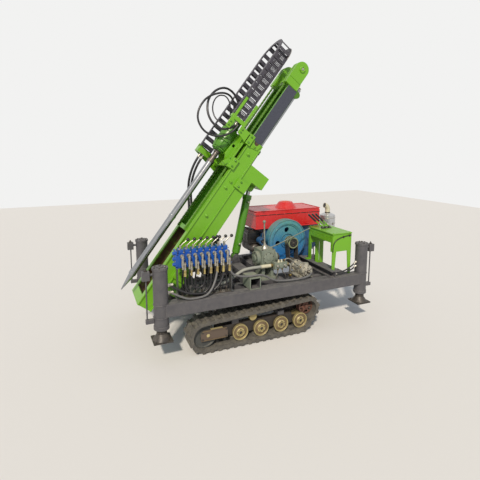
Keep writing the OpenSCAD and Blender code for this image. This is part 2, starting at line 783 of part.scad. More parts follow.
notch_r = 27;
boss_drop = [428, 48];
module mast_outer() color(green) on_mast() {
  difference() {
    union() {
      up_mast(0, outer_len) outer_section();
      // cheeks of the end bracket
      both_sides() mast_plate(half_w, half_w + 7)
        polygon([[outer_len - 78, -36], [outer_len, -30], [outer_len, mast_top_n + 12],
            [outer_len - 60, mast_top_n + 26]]);
    }
    both_sides() translate([outer_len - 6, 0, mast_top_n / 2 - 2]) bar_y(notch_r, web_in - 1, half_w + 8);
  }
  // foot plate
  block([0, -half_w, -outer_plate], [80, half_w, 0]);
  // wear pads at the top
  both_sides() {
    block([outer_len - pad_len, inner_half + seat_gap, mast_top_n + outer_plate],
        [outer_len, web_in, -outer_plate]);
    block([outer_len - pad_len, 40, mast_top_n + outer_plate],
        [outer_len, inner_half + seat_gap, inner_back - seat_gap]);
    block([outer_len - pad_len, half_w - front_flange + 2, inner_front + seat_gap],
        [outer_len, web_in, -outer_plate]);
    // bosses of the pad screws
    for (drop = boss_drop) translate([outer_len - drop, 0, mast_top_n / 2]) bar_y(13, half_w - 1,
        half_w + 14);
  }
}

module feed_barrel() color("darkolivegreen") on_mast() {
  difference() {
    union() {
      bar([feed_s0, 0, feed_n], [outer_len - 36, 0, feed_n], feed_od / 2);
      bar([outer_len - 36, 0, feed_n], [outer_len, 0, feed_n], feed_od / 2 + 5);
      for (s = [feed_s0 + 40, outer_len - 110])
        block([s, -feed_od / 2 - 4, feed_n], [s + 50, feed_od / 2 + 4, mast_top_n - seat_gap / 3]);
    }
    bar([feed_s0 + 30, 0, feed_n], [outer_len - 30, 0, feed_n], feed_rod_d / 2 + 6);
    bar([outer_len - 40, 0, feed_n], [outer_len + 1, 0, feed_n], feed_rod_d / 2 + pin_play);
  }
}

// Bracket on the mast's far side that holds the drag chain's fixed end
bracket_y = half_w + rail_out + 19;
bracket_s = [outer_len - 408, outer_len - 288];
drag_far_s = outer_len - drag_far_drop;
drag_near_y = drag_near_in - half_w;
drag_far_y = half_w - drag_far_in;
module chain_bracket() color(green) on_mast() {
  mast_plate(bracket_y, bracket_y + 8) difference() {
    polygon([
      [bracket_s[0], -100], [bracket_s[1], -100], [drag_far_s + 30, drag_n + drag_w],
          [drag_far_s - 50, drag_n + drag_w]
    ]);
    translate([drag_far_s - 18, drag_n + drag_w - 34]) circle(9);
    translate([drag_far_s - 30, 20]) circle(12);
  }
  block([bracket_s[0], half_w, -100], [bracket_s[1], bracket_y, -30]);
  block([drag_far_s - 50, drag_far_y - drag_h / 2, drag_n], [drag_far_s - seat_gap, bracket_y,
      drag_n + drag_w]);
}

// Inner mast

module inner_section() {
  both_sides_2d() {
    translate([inner_half - inner_plate, inner_back]) square([inner_plate, inner_front - inner_back]);
    translate([chain_y + chain_w / 2 + 4, inner_front - inner_plate])
      square([inner_half - chain_y - chain_w / 2 - 4, inner_plate]);
  }
  translate([-inner_half, inner_back]) square([2 * inner_half, inner_plate]);
}

module mast_inner() color("slategray") on_mast() {
  up_mast(inner_s0, inner_s1) inner_section();
  both_sides() block([inner_s0, inner_half, inner_back], [inner_s0 + pad_len, web_in - 0.4, inner_front]);
  for (s = [inner_s0, inner_s1 - 10]) block([s, -inner_half, inner_back],
      [s + 10, inner_half, inner_front]);
  // crosspiece that the chains are anchored to
  block([inner_s0, -chain_y - chain_w / 2, inner_front - inner_plate],
        [inner_s0 + 40, chain_y + chain_w / 2, sheave_n + sheave_r - chain_t / 2]);
}

head_round = 70;
sheave_gap = 3;
head_near = chain_y + chain_w / 2 + sheave_gap;
head_far = chain_y - chain_w / 2 - sheave_gap;
feed_eye_s = 2400;

module head_profile() {
  translate([sheave_s, sheave_n]) circle(head_round);
  translate([inner_s1, sheave_n - head_round]) square([sheave_s - inner_s1, 2 * head_round]);
}

// Heads on top of the inner mast: a block outside each sheave and a plate inside it
module sheave_heads() color(green) on_mast() {
  both_sides() {
    mast_plate(head_near, inner_half + 8) head_profile();
    mast_plate(head_far - 12, head_far) head_profile();
    translate([sheave_s, 0, sheave_n]) bar_y(14, head_far - 12, inner_half + 16);
  }
  block([inner_s1, -inner_half - 8, sheave_n - head_round], [inner_s1 + 70, inner_half + 8,
      sheave_n + head_round - 30]);
  // lug behind for the feed rod's end
  difference() {
    mast_plate(-28, 28) {
      translate([feed_eye_s, feed_n]) circle(34);
      translate([feed_eye_s - 34, feed_n]) square([68, sheave_n - head_round - feed_n + 4]);
    }
    bar([feed_eye_s - 50, 0, feed_n], [feed_eye_s + 50, 0, feed_n], feed_rod_d / 2 + 1.2 * seat_gap);
  }
}

module chain_sheaves() color("darkolivegreen") on_mast()
  both_sides() translate([sheave_s, 0, sheave_n]) difference() {
    bar_y(sheave_r - chain_t / 2 - seat_gap, chain_y - 6, chain_y + 6);
    bar_y(14 + seat_gap, 0, half_w);
  }

feed_chain_s0 = inner_s0 + 4;
chain_link = 38.1;
module feed_chains() color("olivedrab") on_mast() both_sides() {
  front_n = sheave_n + sheave_r;
  count = floor((sheave_s - feed_chain_s0) / chain_link);
  mast_plate(chain_y - chain_w / 2, chain_y + chain_w / 2) {
    translate([feed_chain_s0, front_n - chain_t / 2 + 2]) square([sheave_s - feed_chain_s0, chain_t - 4]);
    for (i = [0 : count - 1])
      translate([feed_chain_s0 + i * chain_link, front_n - chain_t / 2]) square([chain_link - 10, chain_t]);
    intersection() {
      translate([sheave_s, sheave_n]) difference() {
        circle(sheave_r + chain_t / 2);
        circle(sheave_r - chain_t / 2);
      }
      translate([sheave_s, sheave_n - 80]) square([80, 160]);
    }
  }
}

module feed_rod() color("gainsboro") on_mast() {
  bar([feed_s0 + 640, 0, feed_n], [feed_eye_s + 44, 0, feed_n], feed_rod_d / 2);
  bar([feed_eye_s + 34 + seat_gap, 0, feed_n], [feed_eye_s + 58, 0, feed_n], feed_rod_d / 2 + 8, $fn = 6);
}

// Drag chain: scalloped side plates with crossbars, open between

module drag_side(s0, s1, pitch) {
  count = round((s1 - s0) / pitch);
  step = (s1 - s0) / count;
  for (i = [0 : count - 1])
    translate([s0 + i * step, 0]) {
      translate([0, -drag_h / 2 + 4]) square([step, drag_h - 8]);
      translate([step * 0.12, -drag_h / 2]) square([step * 0.76, drag_h]);
    }
}

// One run in mast axes, from s0 to s1 at y
module drag_run(s0, s1, y, slots = 0) {
  count = round((s1 - s0) / drag_pitch);
  step = (s1 - s0) / count;
  for (n = [drag_n, drag_n + drag_w - 8])
    translate([0, y, n]) linear_extrude(8) drag_side(s0, s1, drag_pitch);
  for (i = [0 : count - 1], side = [-1, 1]) {
    low = side < 0 ? y - drag_h / 2 : y + drag_h / 2 - drag_lid;
    closed = side < 0 && slots > 0;
    cover = closed ? [0.06, 0.94] : [0.28, 0.72];
    difference() {
      block([s0 + (i + cover[0]) * step, low, drag_n + 8],
            [s0 + (i + cover[1]) * step, low + drag_lid, drag_n + drag_w - 8]);
      if (closed) for (k = [0 : slots - 1]) translate([s0 + (i + 0.26 + 0.16 * k) * step, low - 1,
          drag_n + 28])
        cube([step * 0.07, drag_lid + 2, drag_w - 56]);
    }
  }
}

drag_lid = 5;
drag_r = (drag_far_y - drag_near_y) / 2;
drag_mid_y = (drag_far_y + drag_near_y) / 2;

module drag_chain_near() color("dimgray") on_mast() drag_run(drag_near_s, drag_bend_s, drag_near_y, 4);
module drag_chain_far() color("dimgray") on_mast() drag_run(drag_far_s, drag_bend_s, drag_far_y);

module drag_chain_bend() color("dimgray") on_mast() {
  links = 6;
  for (n = [drag_n, drag_n + drag_w - 8])
    translate([drag_bend_s, drag_mid_y, n]) linear_extrude(8) intersection() {
      difference() {
        circle(drag_r + drag_h / 2);
        circle(drag_r - drag_h / 2);
      }
      translate([0, -2 * drag_r]) square([2 * drag_r, 4 * drag_r]);
    }
  for (i = [0 : links - 1])
    translate([drag_bend_s, drag_mid_y, drag_n + 8]) rotate((i + 0.5) * 180 / links - 90)
      for (r = [drag_r - drag_h / 2 + 2, drag_r + drag_h / 2 - 6])
        translate([r, -14, 0]) cube([4, 28, drag_w - 16]);
}

// Carriage, head and rod

claw_y = half_w + rail_out + 1;
head_s1 = head_s0 + head_len;
motor_r = 42;
motor_len = 110;
rib_y = 76;
rib_t = 12;

module head_carriage() color(green) on_mast() {
  top_n = carriage_n + carriage_t;
  seat_n = head_n - 44;
  block([carriage_s0, -half_w + 4, carriage_n], [carriage_s1, half_w - 4, top_n]);
  for (s = [carriage_s0, carriage_s1 - 100]) both_sides() {
    block([s, half_w - front_flange + 4, seat_gap], [s + 100, claw_y + 12, carriage_n]);
    block([s, claw_y, -outer_plate - 12], [s + 100, claw_y + 12, seat_gap]);
    block([s, half_w + 2, -outer_plate - 12], [s + 100, claw_y, -outer_plate - 0.6]);
  }
  // side ribs up to the head's seat, and a gusset at each end of the plate
  both_sides() mast_plate(rib_y, rib_y + rib_t) difference() {
    polygon([[carriage_s0 + 6, top_n], [carriage_s1 - 6, top_n], [head_s1 - 10, seat_n],
        [head_s0 + 6, seat_n]]);
    translate([(head_s0 + head_s1) / 2, (top_n + seat_n) / 2]) circle(15);
  }
  both_sides() mast_plate(half_w - 34, half_w - 24)
    polygon([[carriage_s0 + 100, top_n], [carriage_s0 + 12, top_n], [carriage_s0 + 12, top_n + 46],
        [carriage_s0 + 26, top_n + 46]]);
  block([head_s0 + 6, -rib_y - rib_t, seat_n - 12], [head_s1 - 10, rib_y + rib_t, seat_n]);
}

// Half profile of the head: neck, bell, two flanges and the barrel between them
bell_r = [58, head_r - 14];
bell_s = [24, 96];
head_flanges = [96, head_len - 22];
module rotary_head() color("olivedrab") on_mast() {
  difference() {
    union() {
      translate([head_s0, 0, head_n]) rotate([0, 90, 0]) rotate_extrude() polygon(concat(
        [[0, 0], [bell_r[0] - 8, 0], [bell_r[0] - 8, 10], [bell_r[0] + 12, 10],
            [bell_r[0] + 12, bell_s[0] - 4]],
        [for (a = [0 : 15 : 90]) [bell_r[0] + (bell_r[1] - bell_r[0]) * sin(a),
            bell_s[1] - (bell_s[1] - bell_s[0]) * cos(a)]],
        [[head_r, head_flanges[0]], [head_r, head_flanges[0] + 16], [head_r - 12, head_flanges[0] + 16],
         [head_r - 12, head_flanges[1]], [head_r, head_flanges[1]], [head_r, head_len], [0, head_len]]
      ));
      block([head_s0 + 62, -60, head_n - 44], [head_s1 - 26, 60, head_n]);
      // hydraulic motor on top with its port block
      bar([head_s1, 0, head_n], [head_s1 + 24, 0, head_n], 52);
      bar([head_s1 + 24, 0, head_n], [head_s1 + motor_len, 0, head_n], motor_r);
      bar([head_s1 + 40, 0, head_n], [head_s1 + 56, 0, head_n], motor_r + 5);
    }
    bar([head_s0 - 1, 0, head_n], [head_s0 + 61, 0, head_n], adaptor_d / 2 + 2 * pin_play);
    block([head_s0 - 1, -120, head_n - 120], [head_s1 + 1, 120, head_n - 44]);
  }
}

module spindle_adaptor() color("dimgray") on_mast() {
  bar([rod_s1, 0, head_n], [head_s0 + 58, 0, head_n], adaptor_d / 2);
  bar([rod_s1, 0, head_n], [rod_s1 + 26, 0, head_n], adaptor_d / 2 + 9);
  bar([head_s0 - 24, 0, head_n], [head_s0 - 2, 0, head_n], adaptor_d / 2 + 6);
}

collar_s = 770;
module drill_rod() color("gainsboro") on_mast() translate([0, 0, head_n]) rotate([0, 90,
    0]) rotate_extrude() {
  r = rod_d / 2;
  polygon([
    [0, rod_s0], [4, rod_s0], [r - 2, rod_s0 + point_len - 10], [r + 3, rod_s0 + point_len - 10],
    [r + 3, rod_s0 + point_len + 20], [r, rod_s0 + point_len + 20], [r, collar_s - 14],
        [r + 2.5, collar_s - 14],
    [r + 2.5, collar_s + 14], [r, collar_s + 14], [r, rod_s1], [0, rod_s1]
  ]);
}

// Fork on the carriage that carries the drag chain's moving end
fork_y = drag_near_y - drag_h / 2 - seat_gap;
fork_t = 10;
fork_s = [1690, 1985];
fork_n = [118, 235];
fork_w = 24;
module chain_fork() color(green) on_mast() {
  top_n = carriage_n + carriage_t;
  mast_plate(fork_y - fork_t, fork_y) difference() {
    union() {
      for (n = fork_n) translate([fork_s[0], n]) square([fork_s[1] - fork_s[0], fork_w]);
      translate([fork_s[0] + 70, fork_n[0]]) square([35, fork_n[1] + fork_w - fork_n[0]]);
      // wider foot of the front bar, and the web down to the carriage
      polygon([[fork_s[0] - 22, fork_n[1] - 10], [fork_s[0] + 62, fork_n[1] - 10],
          [fork_s[0] + 76, fork_n[1] + fork_w + 8],
               [fork_s[0] - 22, fork_n[1] + fork_w + 8]]);
      polygon([[fork_s[0] - 30, top_n], [fork_s[0] + 65, top_n], [fork_s[0] + 65, fork_n[0] + fork_w],
          [fork_s[0], fork_n[0] + fork_w]]);
    }
    for (s = [fork_s[0], fork_s[0] + 36]) translate([s, fork_n[1] + fork_w / 2]) circle(6);
    for (s = [fork_s[0] + 16, fork_s[0] + 44]) translate([s, fork_n[0]]) circle(6);
  }
  // foot on the carriage's edge, and the ledge under the chain
  block([fork_s[0] - 30, fork_y - fork_t, top_n], [fork_s[0] + 65, -half_w + 30, top_n + 10]);
  block([drag_near_s - 30, fork_y, drag_n], [drag_near_s - seat_gap, drag_near_y + drag_h / 2,
      drag_n + drag_w]);
}

// Hoses

// A hose of radius r through points: a ring at each point, square to its neighbours
module hose(path, r, sides = 8) {
  n = len(path);
  function unit(v) = v / norm(v);
  function heading(i) = unit(path[min(i + 1, n - 1)] - path[max(i - 1, 0)]);
  points = [for (i = [0 : n - 1]) let (
      t = heading(i),
      u = unit(cross(t, abs(t[1]) < 0.9 ? [0, 1, 0] : [1, 0, 0])),
      v = cross(t, u)
    ) for (k = [0 : sides - 1]) path[i] + r * (cos(k * 360 / sides) * u + sin(k * 360 / sides) * v)];
  faces = concat(
    [[for (k = [0 : sides - 1]) k]],
    [for (i = [0 : n - 2], k = [0 : sides - 1]) let (a = i * sides + k, b = i * sides + (k + 1) % sides)
      [b, a, a + sides, b + sides]],
    [[for (k = [sides - 1 : -1 : 0]) (n - 1) * sides + k]]
  );
  polyhedron(points, faces);
}

// A smooth path through a few chosen points
function smooth(p, steps = 4) = [
  for (i = [0 : len(p) - 2], j = [0 : steps - 1])
    let (t = j / steps, a = p[max(i - 1, 0)], b = p[i], c = p[i + 1], d = p[min(i + 2, len(p) - 1)])
    0.5 * (2 * b + (c - a) * t + (2 * a - 5 * b + 4 * c - d) * t * t + (3 * b - 3 * c + d - a) * t * t * t),
  p[len(p) - 1]
];

// The big loop at the head, in mast axes, from the drag chain's moving end out and back to the motor
hose_s = drag_near_s - 30 - seat_gap;
head_loop = [
  [hose_s - 27, drag_near_y, 190], [1695, -160, 205], [1655, -150, 260], [1650, -130, 350],
      [1710, -100, 430],
  [1820, -60, 480], [1940, -20, 460], [2020, 20, 390], [2030, 45, 300], [1980, 40, 225], [1900, 16, 160],
  [head_s1 + motor_len + 26, 0, head_n]
];
drain_s = head_s1 + 80;
// A thinner drain hose inside the big loop, which ends on the motor's far side
drain_loop = [
  [hose_s - 25, drag_near_y, 240], [1700, -158, 252], [1678, -142, 292], [1682, -112, 352],
      [1735, -72, 408],
  [1820, -24, 432], [1900, 24, 412], [1945, 66, 352], [1930, 88, 280], [1870, 92, 222], [1810, 88, 186],
  [drain_s, 1.9 * motor_r, head_n + 0.7 * motor_r]
];
module head_hoses() color(rubber) on_mast() {
  hose(concat([[hose_s, drag_near_y, 190]], smooth(head_loop), [[head_s1 + motor_len + seat_gap, 0,
      head_n]]), 10);
  // the last step runs square to the motor's round side
  reach = (motor_r + seat_gap) / norm([1.9, 0.7]) / motor_r;
  hose(concat([[hose_s, drag_near_y, 240]], smooth(drain_loop),
    [[drain_s, 1.9 * motor_r * reach, head_n + 0.7 * motor_r * reach]]), 7);
}

// Engine

crankcase_y0 = flywheel_y + flywheel_t + 22;
engine_top = 850;

module engine_block() color("steelblue") {
  difference() {
    union() {
      plate_y(crankcase_y0, crankcase_y) polygon([
        [crank_x - 230, engine_rail_z], [crank_x + 200, engine_rail_z], [crank_x + 200, engine_top],
        [crank_x - 190, engine_top], [crank_x - 230, engine_top - 60]
      ]);
      block([crank_x + 200, crankcase_y0, engine_rail_z], [crank_x + 330, crankcase_y, 572]);
      block([crank_x + 200, 130, 570], [crank_x + 400, 400, engine_top]);
      block([crank_x + 400, 140, 590], [crank_x + 455, 390, engine_top - 10]);
      // timing gear cover
      translate([crank_x - 168, 0, crank_z - 4]) bar_y(54, crankcase_y0 - 16, crankcase_y0);
      // starting handle's boss, clear of the flywheel's rim
      translate([crank_x - flywheel_r - 44, 0, crank_z]) difference() {
        bar_y(36, crankcase_y0 - 62, crankcase_y0 + 20);
        bar_y(20, crankcase_y0 - 63, crankcase_y0 - 20);
      }
      translate([crank_x, 0, crank_z]) bar_y(52, crankcase_y0 - 14, crankcase_y0);
    }
    translate([crank_x, 0, crank_z]) bar_y(crank_r + pin_play, crankcase_y0 - 20, crankcase_y0 + 62);
  }
}

groove_count = 3;
module v_pulley(r, y0, len, bore) {
  step = len / groove_count;
  rotate([90, 0, 0]) translate([0, 0, -y0 - len]) rotate_extrude() difference() {
    translate([bore, 0]) square([r - bore, len]);
    for (i = [0 : groove_count - 1]) translate([r, (i + 0.5) * step])
      polygon([[1, -8.6], [1, 8.6], [-13, 5.6], [-13, -5.6]]);
  }
}

module engine_flywheel() color("dodgerblue") translate([crank_x, 0, crank_z]) {
  difference() {
    rotate([-90, 0, 0]) translate([0, 0, flywheel_y]) rotate_extrude() polygon([
      [0, 0], [56, 0], [56, 14], [150, 14], [158, 4], [176, 4], [176, 0], [flywheel_r, 0],
      [flywheel_r, flywheel_t], [170, flywheel_t], [162, flywheel_t - 44], [60, flywheel_t - 44],
      [52, flywheel_t], [0, flywheel_t]
    ]);
    for (a = [90, 195, 305]) rotate([0, -a, 0]) translate([106, 0, 0]) bar_y(27, flywheel_y - 1,
        flywheel_y + flywheel_t + 1);
  }
  bar_y(crank_r, flywheel_y + flywheel_t, crankcase_y0 + 60);
  // belt pulley bolted to the flywheel's face
  v_pulley(pulley_r, flywheel_y - pulley_len - 40, pulley_len, 22);
  bar_y(30, flywheel_y - 40, flywheel_y);
  bar_y(24, flywheel_y - pulley_len - 40, flywheel_y - 38);
}

belt_y0 = flywheel_y - pulley_len - 40;
pump_gap = 24;

module pump_pulley() color("dimgray") translate([pump_x, 0, pump_z]) {
  v_pulley(pump_pulley_r, belt_y0, pulley_len, 14);
  bar_y(16, belt_y0 - pump_gap - 20, belt_y0 + pulley_len);
}

// Three belts as loops round both pulleys
module drive_belts() color(rubber) {
  step = pulley_len / groove_count;
  for (i = [0 : groove_count - 1]) {
    y = belt_y0 + (i + 0.5) * step;
    plate_y(y - 5, y + 5) difference() {
      belt_loop(-5);
      belt_loop(-12.6);
    }
    plate_y(y - 7, y + 7) difference() {
      belt_loop(0.5);
      belt_loop(-5);
    }
  }
}

module belt_loop(grow) {
  a = pulley_r + grow;
  b = pump_pulley_r + grow;
  span = [pump_x - crank_x, pump_z - crank_z];
  along = atan2(span[1], span[0]);
  lean = asin((a - b) / norm(span));
  translate([crank_x, crank_z]) circle(a, $fn = 64);
  translate([pump_x, pump_z]) circle(b, $fn = 64);
  polygon([
    [crank_x, crank_z] + a * dir(along + 90 - lean), [pump_x, pump_z] + b * dir(along + 90 - lean),
    [pump_x, pump_z] + b * dir(along - 90 + lean), [crank_x, crank_z] + a * dir(along - 90 + lean)
  ]);
}

function dir(a) = [cos(a), sin(a)];

pump_r = 58;
module hydraulic_pump() color("lightgray") translate([pump_x, 0, 0]) {
  y1 = belt_y0 - pump_gap;
  y0 = y1 - pump_len;
  foot = inner_rail_y[0] - rail_w / 2;
  difference() {
    union() {
      translate([0, 0, pump_z]) {
        // mounting flange, bearing housing, gear case and end cover
        bar_y(pump_r, y1 - 26, y1);
        bar_y(pump_r - 12, y0 + 20, y1 - 26);
        bar_y(pump_r, y0 + 96, y0 + 118);
        bar_y(pump_r, y0 + 24, y0 + 74);
        bar_y(pump_r - 16, y0, y0 + 24);
      }
      block([-70, foot, pump_rail_z], [70, inner_rail_y[1] + rail_w / 2, pump_rail_z + 8]);
      block([-34, foot + 8, pump_rail_z + 4], [34, y1 - 8, pump_z]);
      // suction port on top
      translate([0, y0 + 48, pump_z]) cylinder(r = 24, h = pump_r + 14);
    }
    translate([0, 0, pump_z]) bar_y(16 + pin_play, y1 - 24, y1 + 1);
  }
}

module water_hopper() color("crimson") {
  plate_y(crankcase_y0 - 20, crankcase_y + 6) polygon([
    [crank_x - 320, engine_top + 6], [crank_x + 440, engine_top + 6], [crank_x + 440, engine_top + 170],
    [crank_x + 425, engine_top + 186], [crank_x - 305, engine_top + 186], [crank_x - 320, engine_top + 170]
  ]);
  block([crank_x - 190, crankcase_y0 + 20, engine_top], [crank_x + 400, crankcase_y - 20, engine_top + 6]);
  translate([crank_x + 120, 260, engine_top + 186]) cylinder(r1 = 120, r2 = 70, h = 60);
}

module air_cleaner() color("silver") {
  x = crank_x + 615;
  z0 = 770;
  translate([x, 180, z0]) {
    cylinder(r = 85, h = 160);
    translate([0, 0, 160]) cylinder(r1 = 85, r2 = 40, h = 20);
    translate([0, 0, 180]) cylinder(r = 26, h = 40);
    translate([-50, 0, 220]) rotate([90, 0, 0]) rotate_extrude(angle = 80) translate([50, 0]) circle(26);
  }
  bar([crank_x + 455, 180, z0 + 40], [x - 40, 180, z0 + 40], 30);
}

module gearbox() color("darkseagreen") {
  x1 = gearbox_x + gearbox_len;
  mid_y = -gearbox_y + gearbox_w / 2;
  mid_x = gearbox_x + gearbox_len / 2;
  // base plate on the rails with two stands
  block([gearbox_x - 10, -gearbox_y - 30, beam_top], [x1 + 15, -gearbox_y + gearbox_w + 15, beam_top + 14]);
  for (x = [gearbox_x + 10, x1 - 40])
    block([x, -gearbox_y + 10, beam_top + 14], [x + 30, -gearbox_y + gearbox_w - 10, gearbox_z + 4]);
  block([gearbox_x, -gearbox_y, gearbox_z], [x1, -gearbox_y + gearbox_w, gearbox_top]);
  // bearing covers at both ends, the cone on top and the shift lever in it
  translate([gearbox_x - 32, mid_y, gearbox_z + 64]) rotate([0, 90, 0]) cylinder(r = 66, h = 32);
  translate([x1, mid_y, gearbox_z + 54]) rotate([0, 90, 0]) cylinder(r = 50, h = 46);
  translate([mid_x, mid_y, gearbox_top]) cylinder(r1 = 34, r2 = 14, h = 34);
  bar([mid_x, mid_y, gearbox_top + 25], [mid_x - 6, mid_y, gearbox_top + 240], 7);
  translate([mid_x - 6, mid_y, gearbox_top + 250]) sphere(15);
}

module oil_tank() color("darkslategray") {
  block([tank_x, tank_y, beam_top], [tank_x + tank_len, tank_y + tank_w, tank_top]);
  translate([tank_x + tank_len / 3, tank_y + tank_w / 2, tank_top]) cylinder(r = 40, h = 26);
}

console_holes = 6;
module operator_console() color(green) {
  x1 = console_x + console_len;
  y0 = -console_y;
  y1 = console_w - console_y;
  p = console_sheet;
  skirt_z = console_top - p - console_skirt;
  block([console_x - p, y0 - p, console_top - p], [x1, y1, console_top]);
  difference() {
    block([console_x, y0, skirt_z], [x1, y1, console_top - p]);
    block([console_x + p, y0 + p, skirt_z - 1], [x1 - p, y1 - p, console_top - p]);
    // the front panel is cut short and has a row of holes
    block([console_x - 1, y0 + 30, skirt_z - 1], [console_x + p + 1, y1 - 30, console_top - 90]);
    for (i = [0 : console_holes - 1])
      translate([console_x - 1, y0 + 48 + i * (console_w - 96) / (console_holes - 1), console_top - 50])
        rotate([0, 90, 0]) cylinder(r = 7, h = p + 2);
  }
  // tapered legs on the side beam
  for (x = [console_x, x1]) plate_y(y0, y0 + p) {
    inward = x < x1 ? 1 : -1;
    polygon([[x, beam_top], [x + inward * console_leg * 0.6, beam_top],
        [x + inward * console_leg, skirt_z + 4], [x, skirt_z + 4]]);
  }
  // legs on the rear cross member, and the one on the rear channel
  for (x = [console_x + 82, console_x + 135]) block([x, y1 - p, beam_top],
      [x + console_leg, y1, skirt_z + 4]);
  block([console_x, y1 - console_leg, beam_top + channel_h], [console_x + p, y1, skirt_z + 4]);
  block([rear_channel_x + 8, y1 - console_leg, beam_top + channel_h],
      [console_x + p, y1, beam_top + channel_h + p]);
  // levers
  for (i = [0 : 2])
    bar([console_x + 150 - i * 40, y0 + 250, console_top], [console_x - 10 - i * 42, y0 + 270,
        console_top + 150], 6);
}

valve_w = valve_pitch - 4;
valve_cap = 36;
// Heights of the two rows of ports above the bank's underside
port_z = [34, 96];
module valve_bank() color("royalblue") {
  last = valve_x + (valve_count - 1) * valve_pitch;
  end_x = [valve_x - 34, last + 34];
  for (i = [0 : valve_count - 1]) translate([valve_x + i * valve_pitch, -valve_y, valve_z]) {
    // one section: casting, narrower cap, port bosses and the spool's housing
    block([-valve_w / 2, 0, 0], [valve_w / 2, valve_d, valve_h - valve_cap]);
    block([-valve_w / 2 + 7, 18, valve_h - valve_cap], [valve_w / 2 - 7, valve_d - 22, valve_h]);
    translate([0, 0, port_z[1]]) bar_y(16, -5, 4);
    translate([valve_pitch / 2 - 8, 0, port_z[0]]) bar_y(14, -5, 4);
    translate([0, 0, 70]) bar_y(17, valve_d, valve_d + 46);
  }
  // the block that ties them, with end covers and three relief caps
  block([end_x[0], -valve_y + 8, valve_z + 8], [end_x[1], -valve_y + valve_d - 8,
      valve_z + valve_h - valve_cap - 8]);
  block([end_x[0] - 10, -valve_y + 14, valve_z + 4], [end_x[0] + 1, -valve_y + valve_d - 14,
      valve_z + valve_h - 6]);
  for (z = [22, 68, 114]) translate([end_x[0] - 32, -valve_y + 34, valve_z + z]) rotate([0, 90,
      0]) cylinder(r = 13, h = 24);
  // stand on the side beam
  for (x = [end_x[0] - 10, end_x[1] + 2]) {
    block([x, -valve_y - 20, beam_top], [x + 8, -valve_y + 30, valve_z]);
    block([x - 8, -valve_y - 46, beam_top], [x + 16, -valve_y + 20, beam_top + 8]);
  }
  block([end_x[0] - 10, -valve_y + 2, valve_z - 8], [end_x[1] + 10, -valve_y + valve_d, valve_z]);
}

// Each section's port fittings: an elbow at the top row and one at the lower row, both turned down
upper_y = -valve_y - 33;
lower_y = -valve_y - 25;
hose_r = 9;
module elbow_down(x, y, z, r, drop) {
  translate([x, 0, z]) bar_y(r, y - r, -valve_y - 5 - seat_gap);
  translate([x, y, z - drop]) cylinder(r = r, h = drop + r);
  translate([x, y, z - drop]) cylinder(r = r + 2, h = drop * 0.4);
}
function upper_port(i) = [valve_x + i * valve_pitch, upper_y, valve_z + port_z[1] - upper_drop];
function lower_port(i) = [valve_x + (i + 0.5) * valve_pitch - 8, lower_y, valve_z + port_z[0] - lower_drop];
upper_drop = 62;
lower_drop = 54;
module valve_fittings() color("silver")
  for (i = [0 : valve_count - 1]) {
    elbow_down(upper_port(i)[0], upper_y, valve_z + port_z[1], 9, upper_drop);
    elbow_down(lower_port(i)[0], lower_y, valve_z + port_z[0], 9, lower_drop);
  }

// A spool lever on each section: clevis, rod and knob
module valve_levers() color(rubber)
  for (i = [0 : valve_count - 1]) {
    base = [valve_x + i * valve_pitch, -valve_y + 54, valve_z + valve_h];
    block(base - [9, 14, 0], base + [9, 14, 22]);
    bar(base + [0, 0, 18], base + [0, 24, 84], 6);
    translate(base + [0, 26, 92]) sphere(15);
  }

// A hose that hangs from one lower port to another and rests near the beam
module hanging_hose(a, b, low) {
  start = lower_port(a) - [0, 0, seat_gap];
  end = lower_port(b) - [0, 0, seat_gap];
  r = (end[0] - start[0]) / 2;
  fall = start[2] - low;
  path = [for (k = [0 : 12]) let (h = k * 15) [start[0] + r * (1 - cos(h)), lower_y,
      start[2] - 16 - (fall - 16) * sin(h)]];
  hose(concat([start], path, [end]), hose_r);
}

// Routes of the two hoses to the front leg: the port, the height at the leg and the points between
leg_routes = [
  [5, 556, [[-800, -496, 526], [-720, -506, 489], [-620, -507, 487], [-560, -505, 496], [-500, -482, 590]]],
  [6, 616, [[-800, -476, 570], [-710, -472, 512], [-600, -472, 506], [-500, -472, 520], [-430, -464, 590]]]
];
// Route of the hose from the pump, over the cross tube and along the side beam
pump_route = [
  [-315, -452, 620], [-230, -465, 594], [-130, -468, 587], [-66, -466, 586], [-20, -458, 560],
      [30, -440, 510],
  [160, -420, 490], [320, -420, 490], [430, -418, 500]
];
// Hoses: loops between ports, two to the front leg's cylinder and one from the pump
module hydraulic_hoses() color(rubber) {
  rest_z = beam_top + hose_r + 2;
  hanging_hose(0, 4, rest_z);
  hanging_hose(1, 3, rest_z + 60);
  for (route = leg_routes) {
    port = lower_port(route[0]);
    start = [leg_front_x + leg_r + seat_gap, -leg_y, route[1]];
    hose(concat([start], smooth(concat([start + [14, 0, 0]], route[2],
        [port - [0, 0, 26]])), [port - [0, 0, seat_gap]]), hose_r);
  }
  port = lower_port(7);
  pump_y0 = belt_y0 - pump_gap - pump_len;
  hose(concat([port - [0, 0, seat_gap]], smooth(concat([port - [0, 0, 26]],
      pump_route, [[pump_x, pump_y0 - 20, pump_z]])),
    [[pump_x, pump_y0 - seat_gap, pump_z]]), hose_r);
}

// Derrick cylinder, drawn along its axis from the lower pin

module on_derrick() {
  translate([derrick_x, 0, derrick_z]) rotate([0, -derrick_angle, 0]) children();
}

derrick_neck = derrick_pin_d / 2 + 26;
derrick_gland = derrick_len - derrick_pin_d / 2 - 14 - derrick_bare;

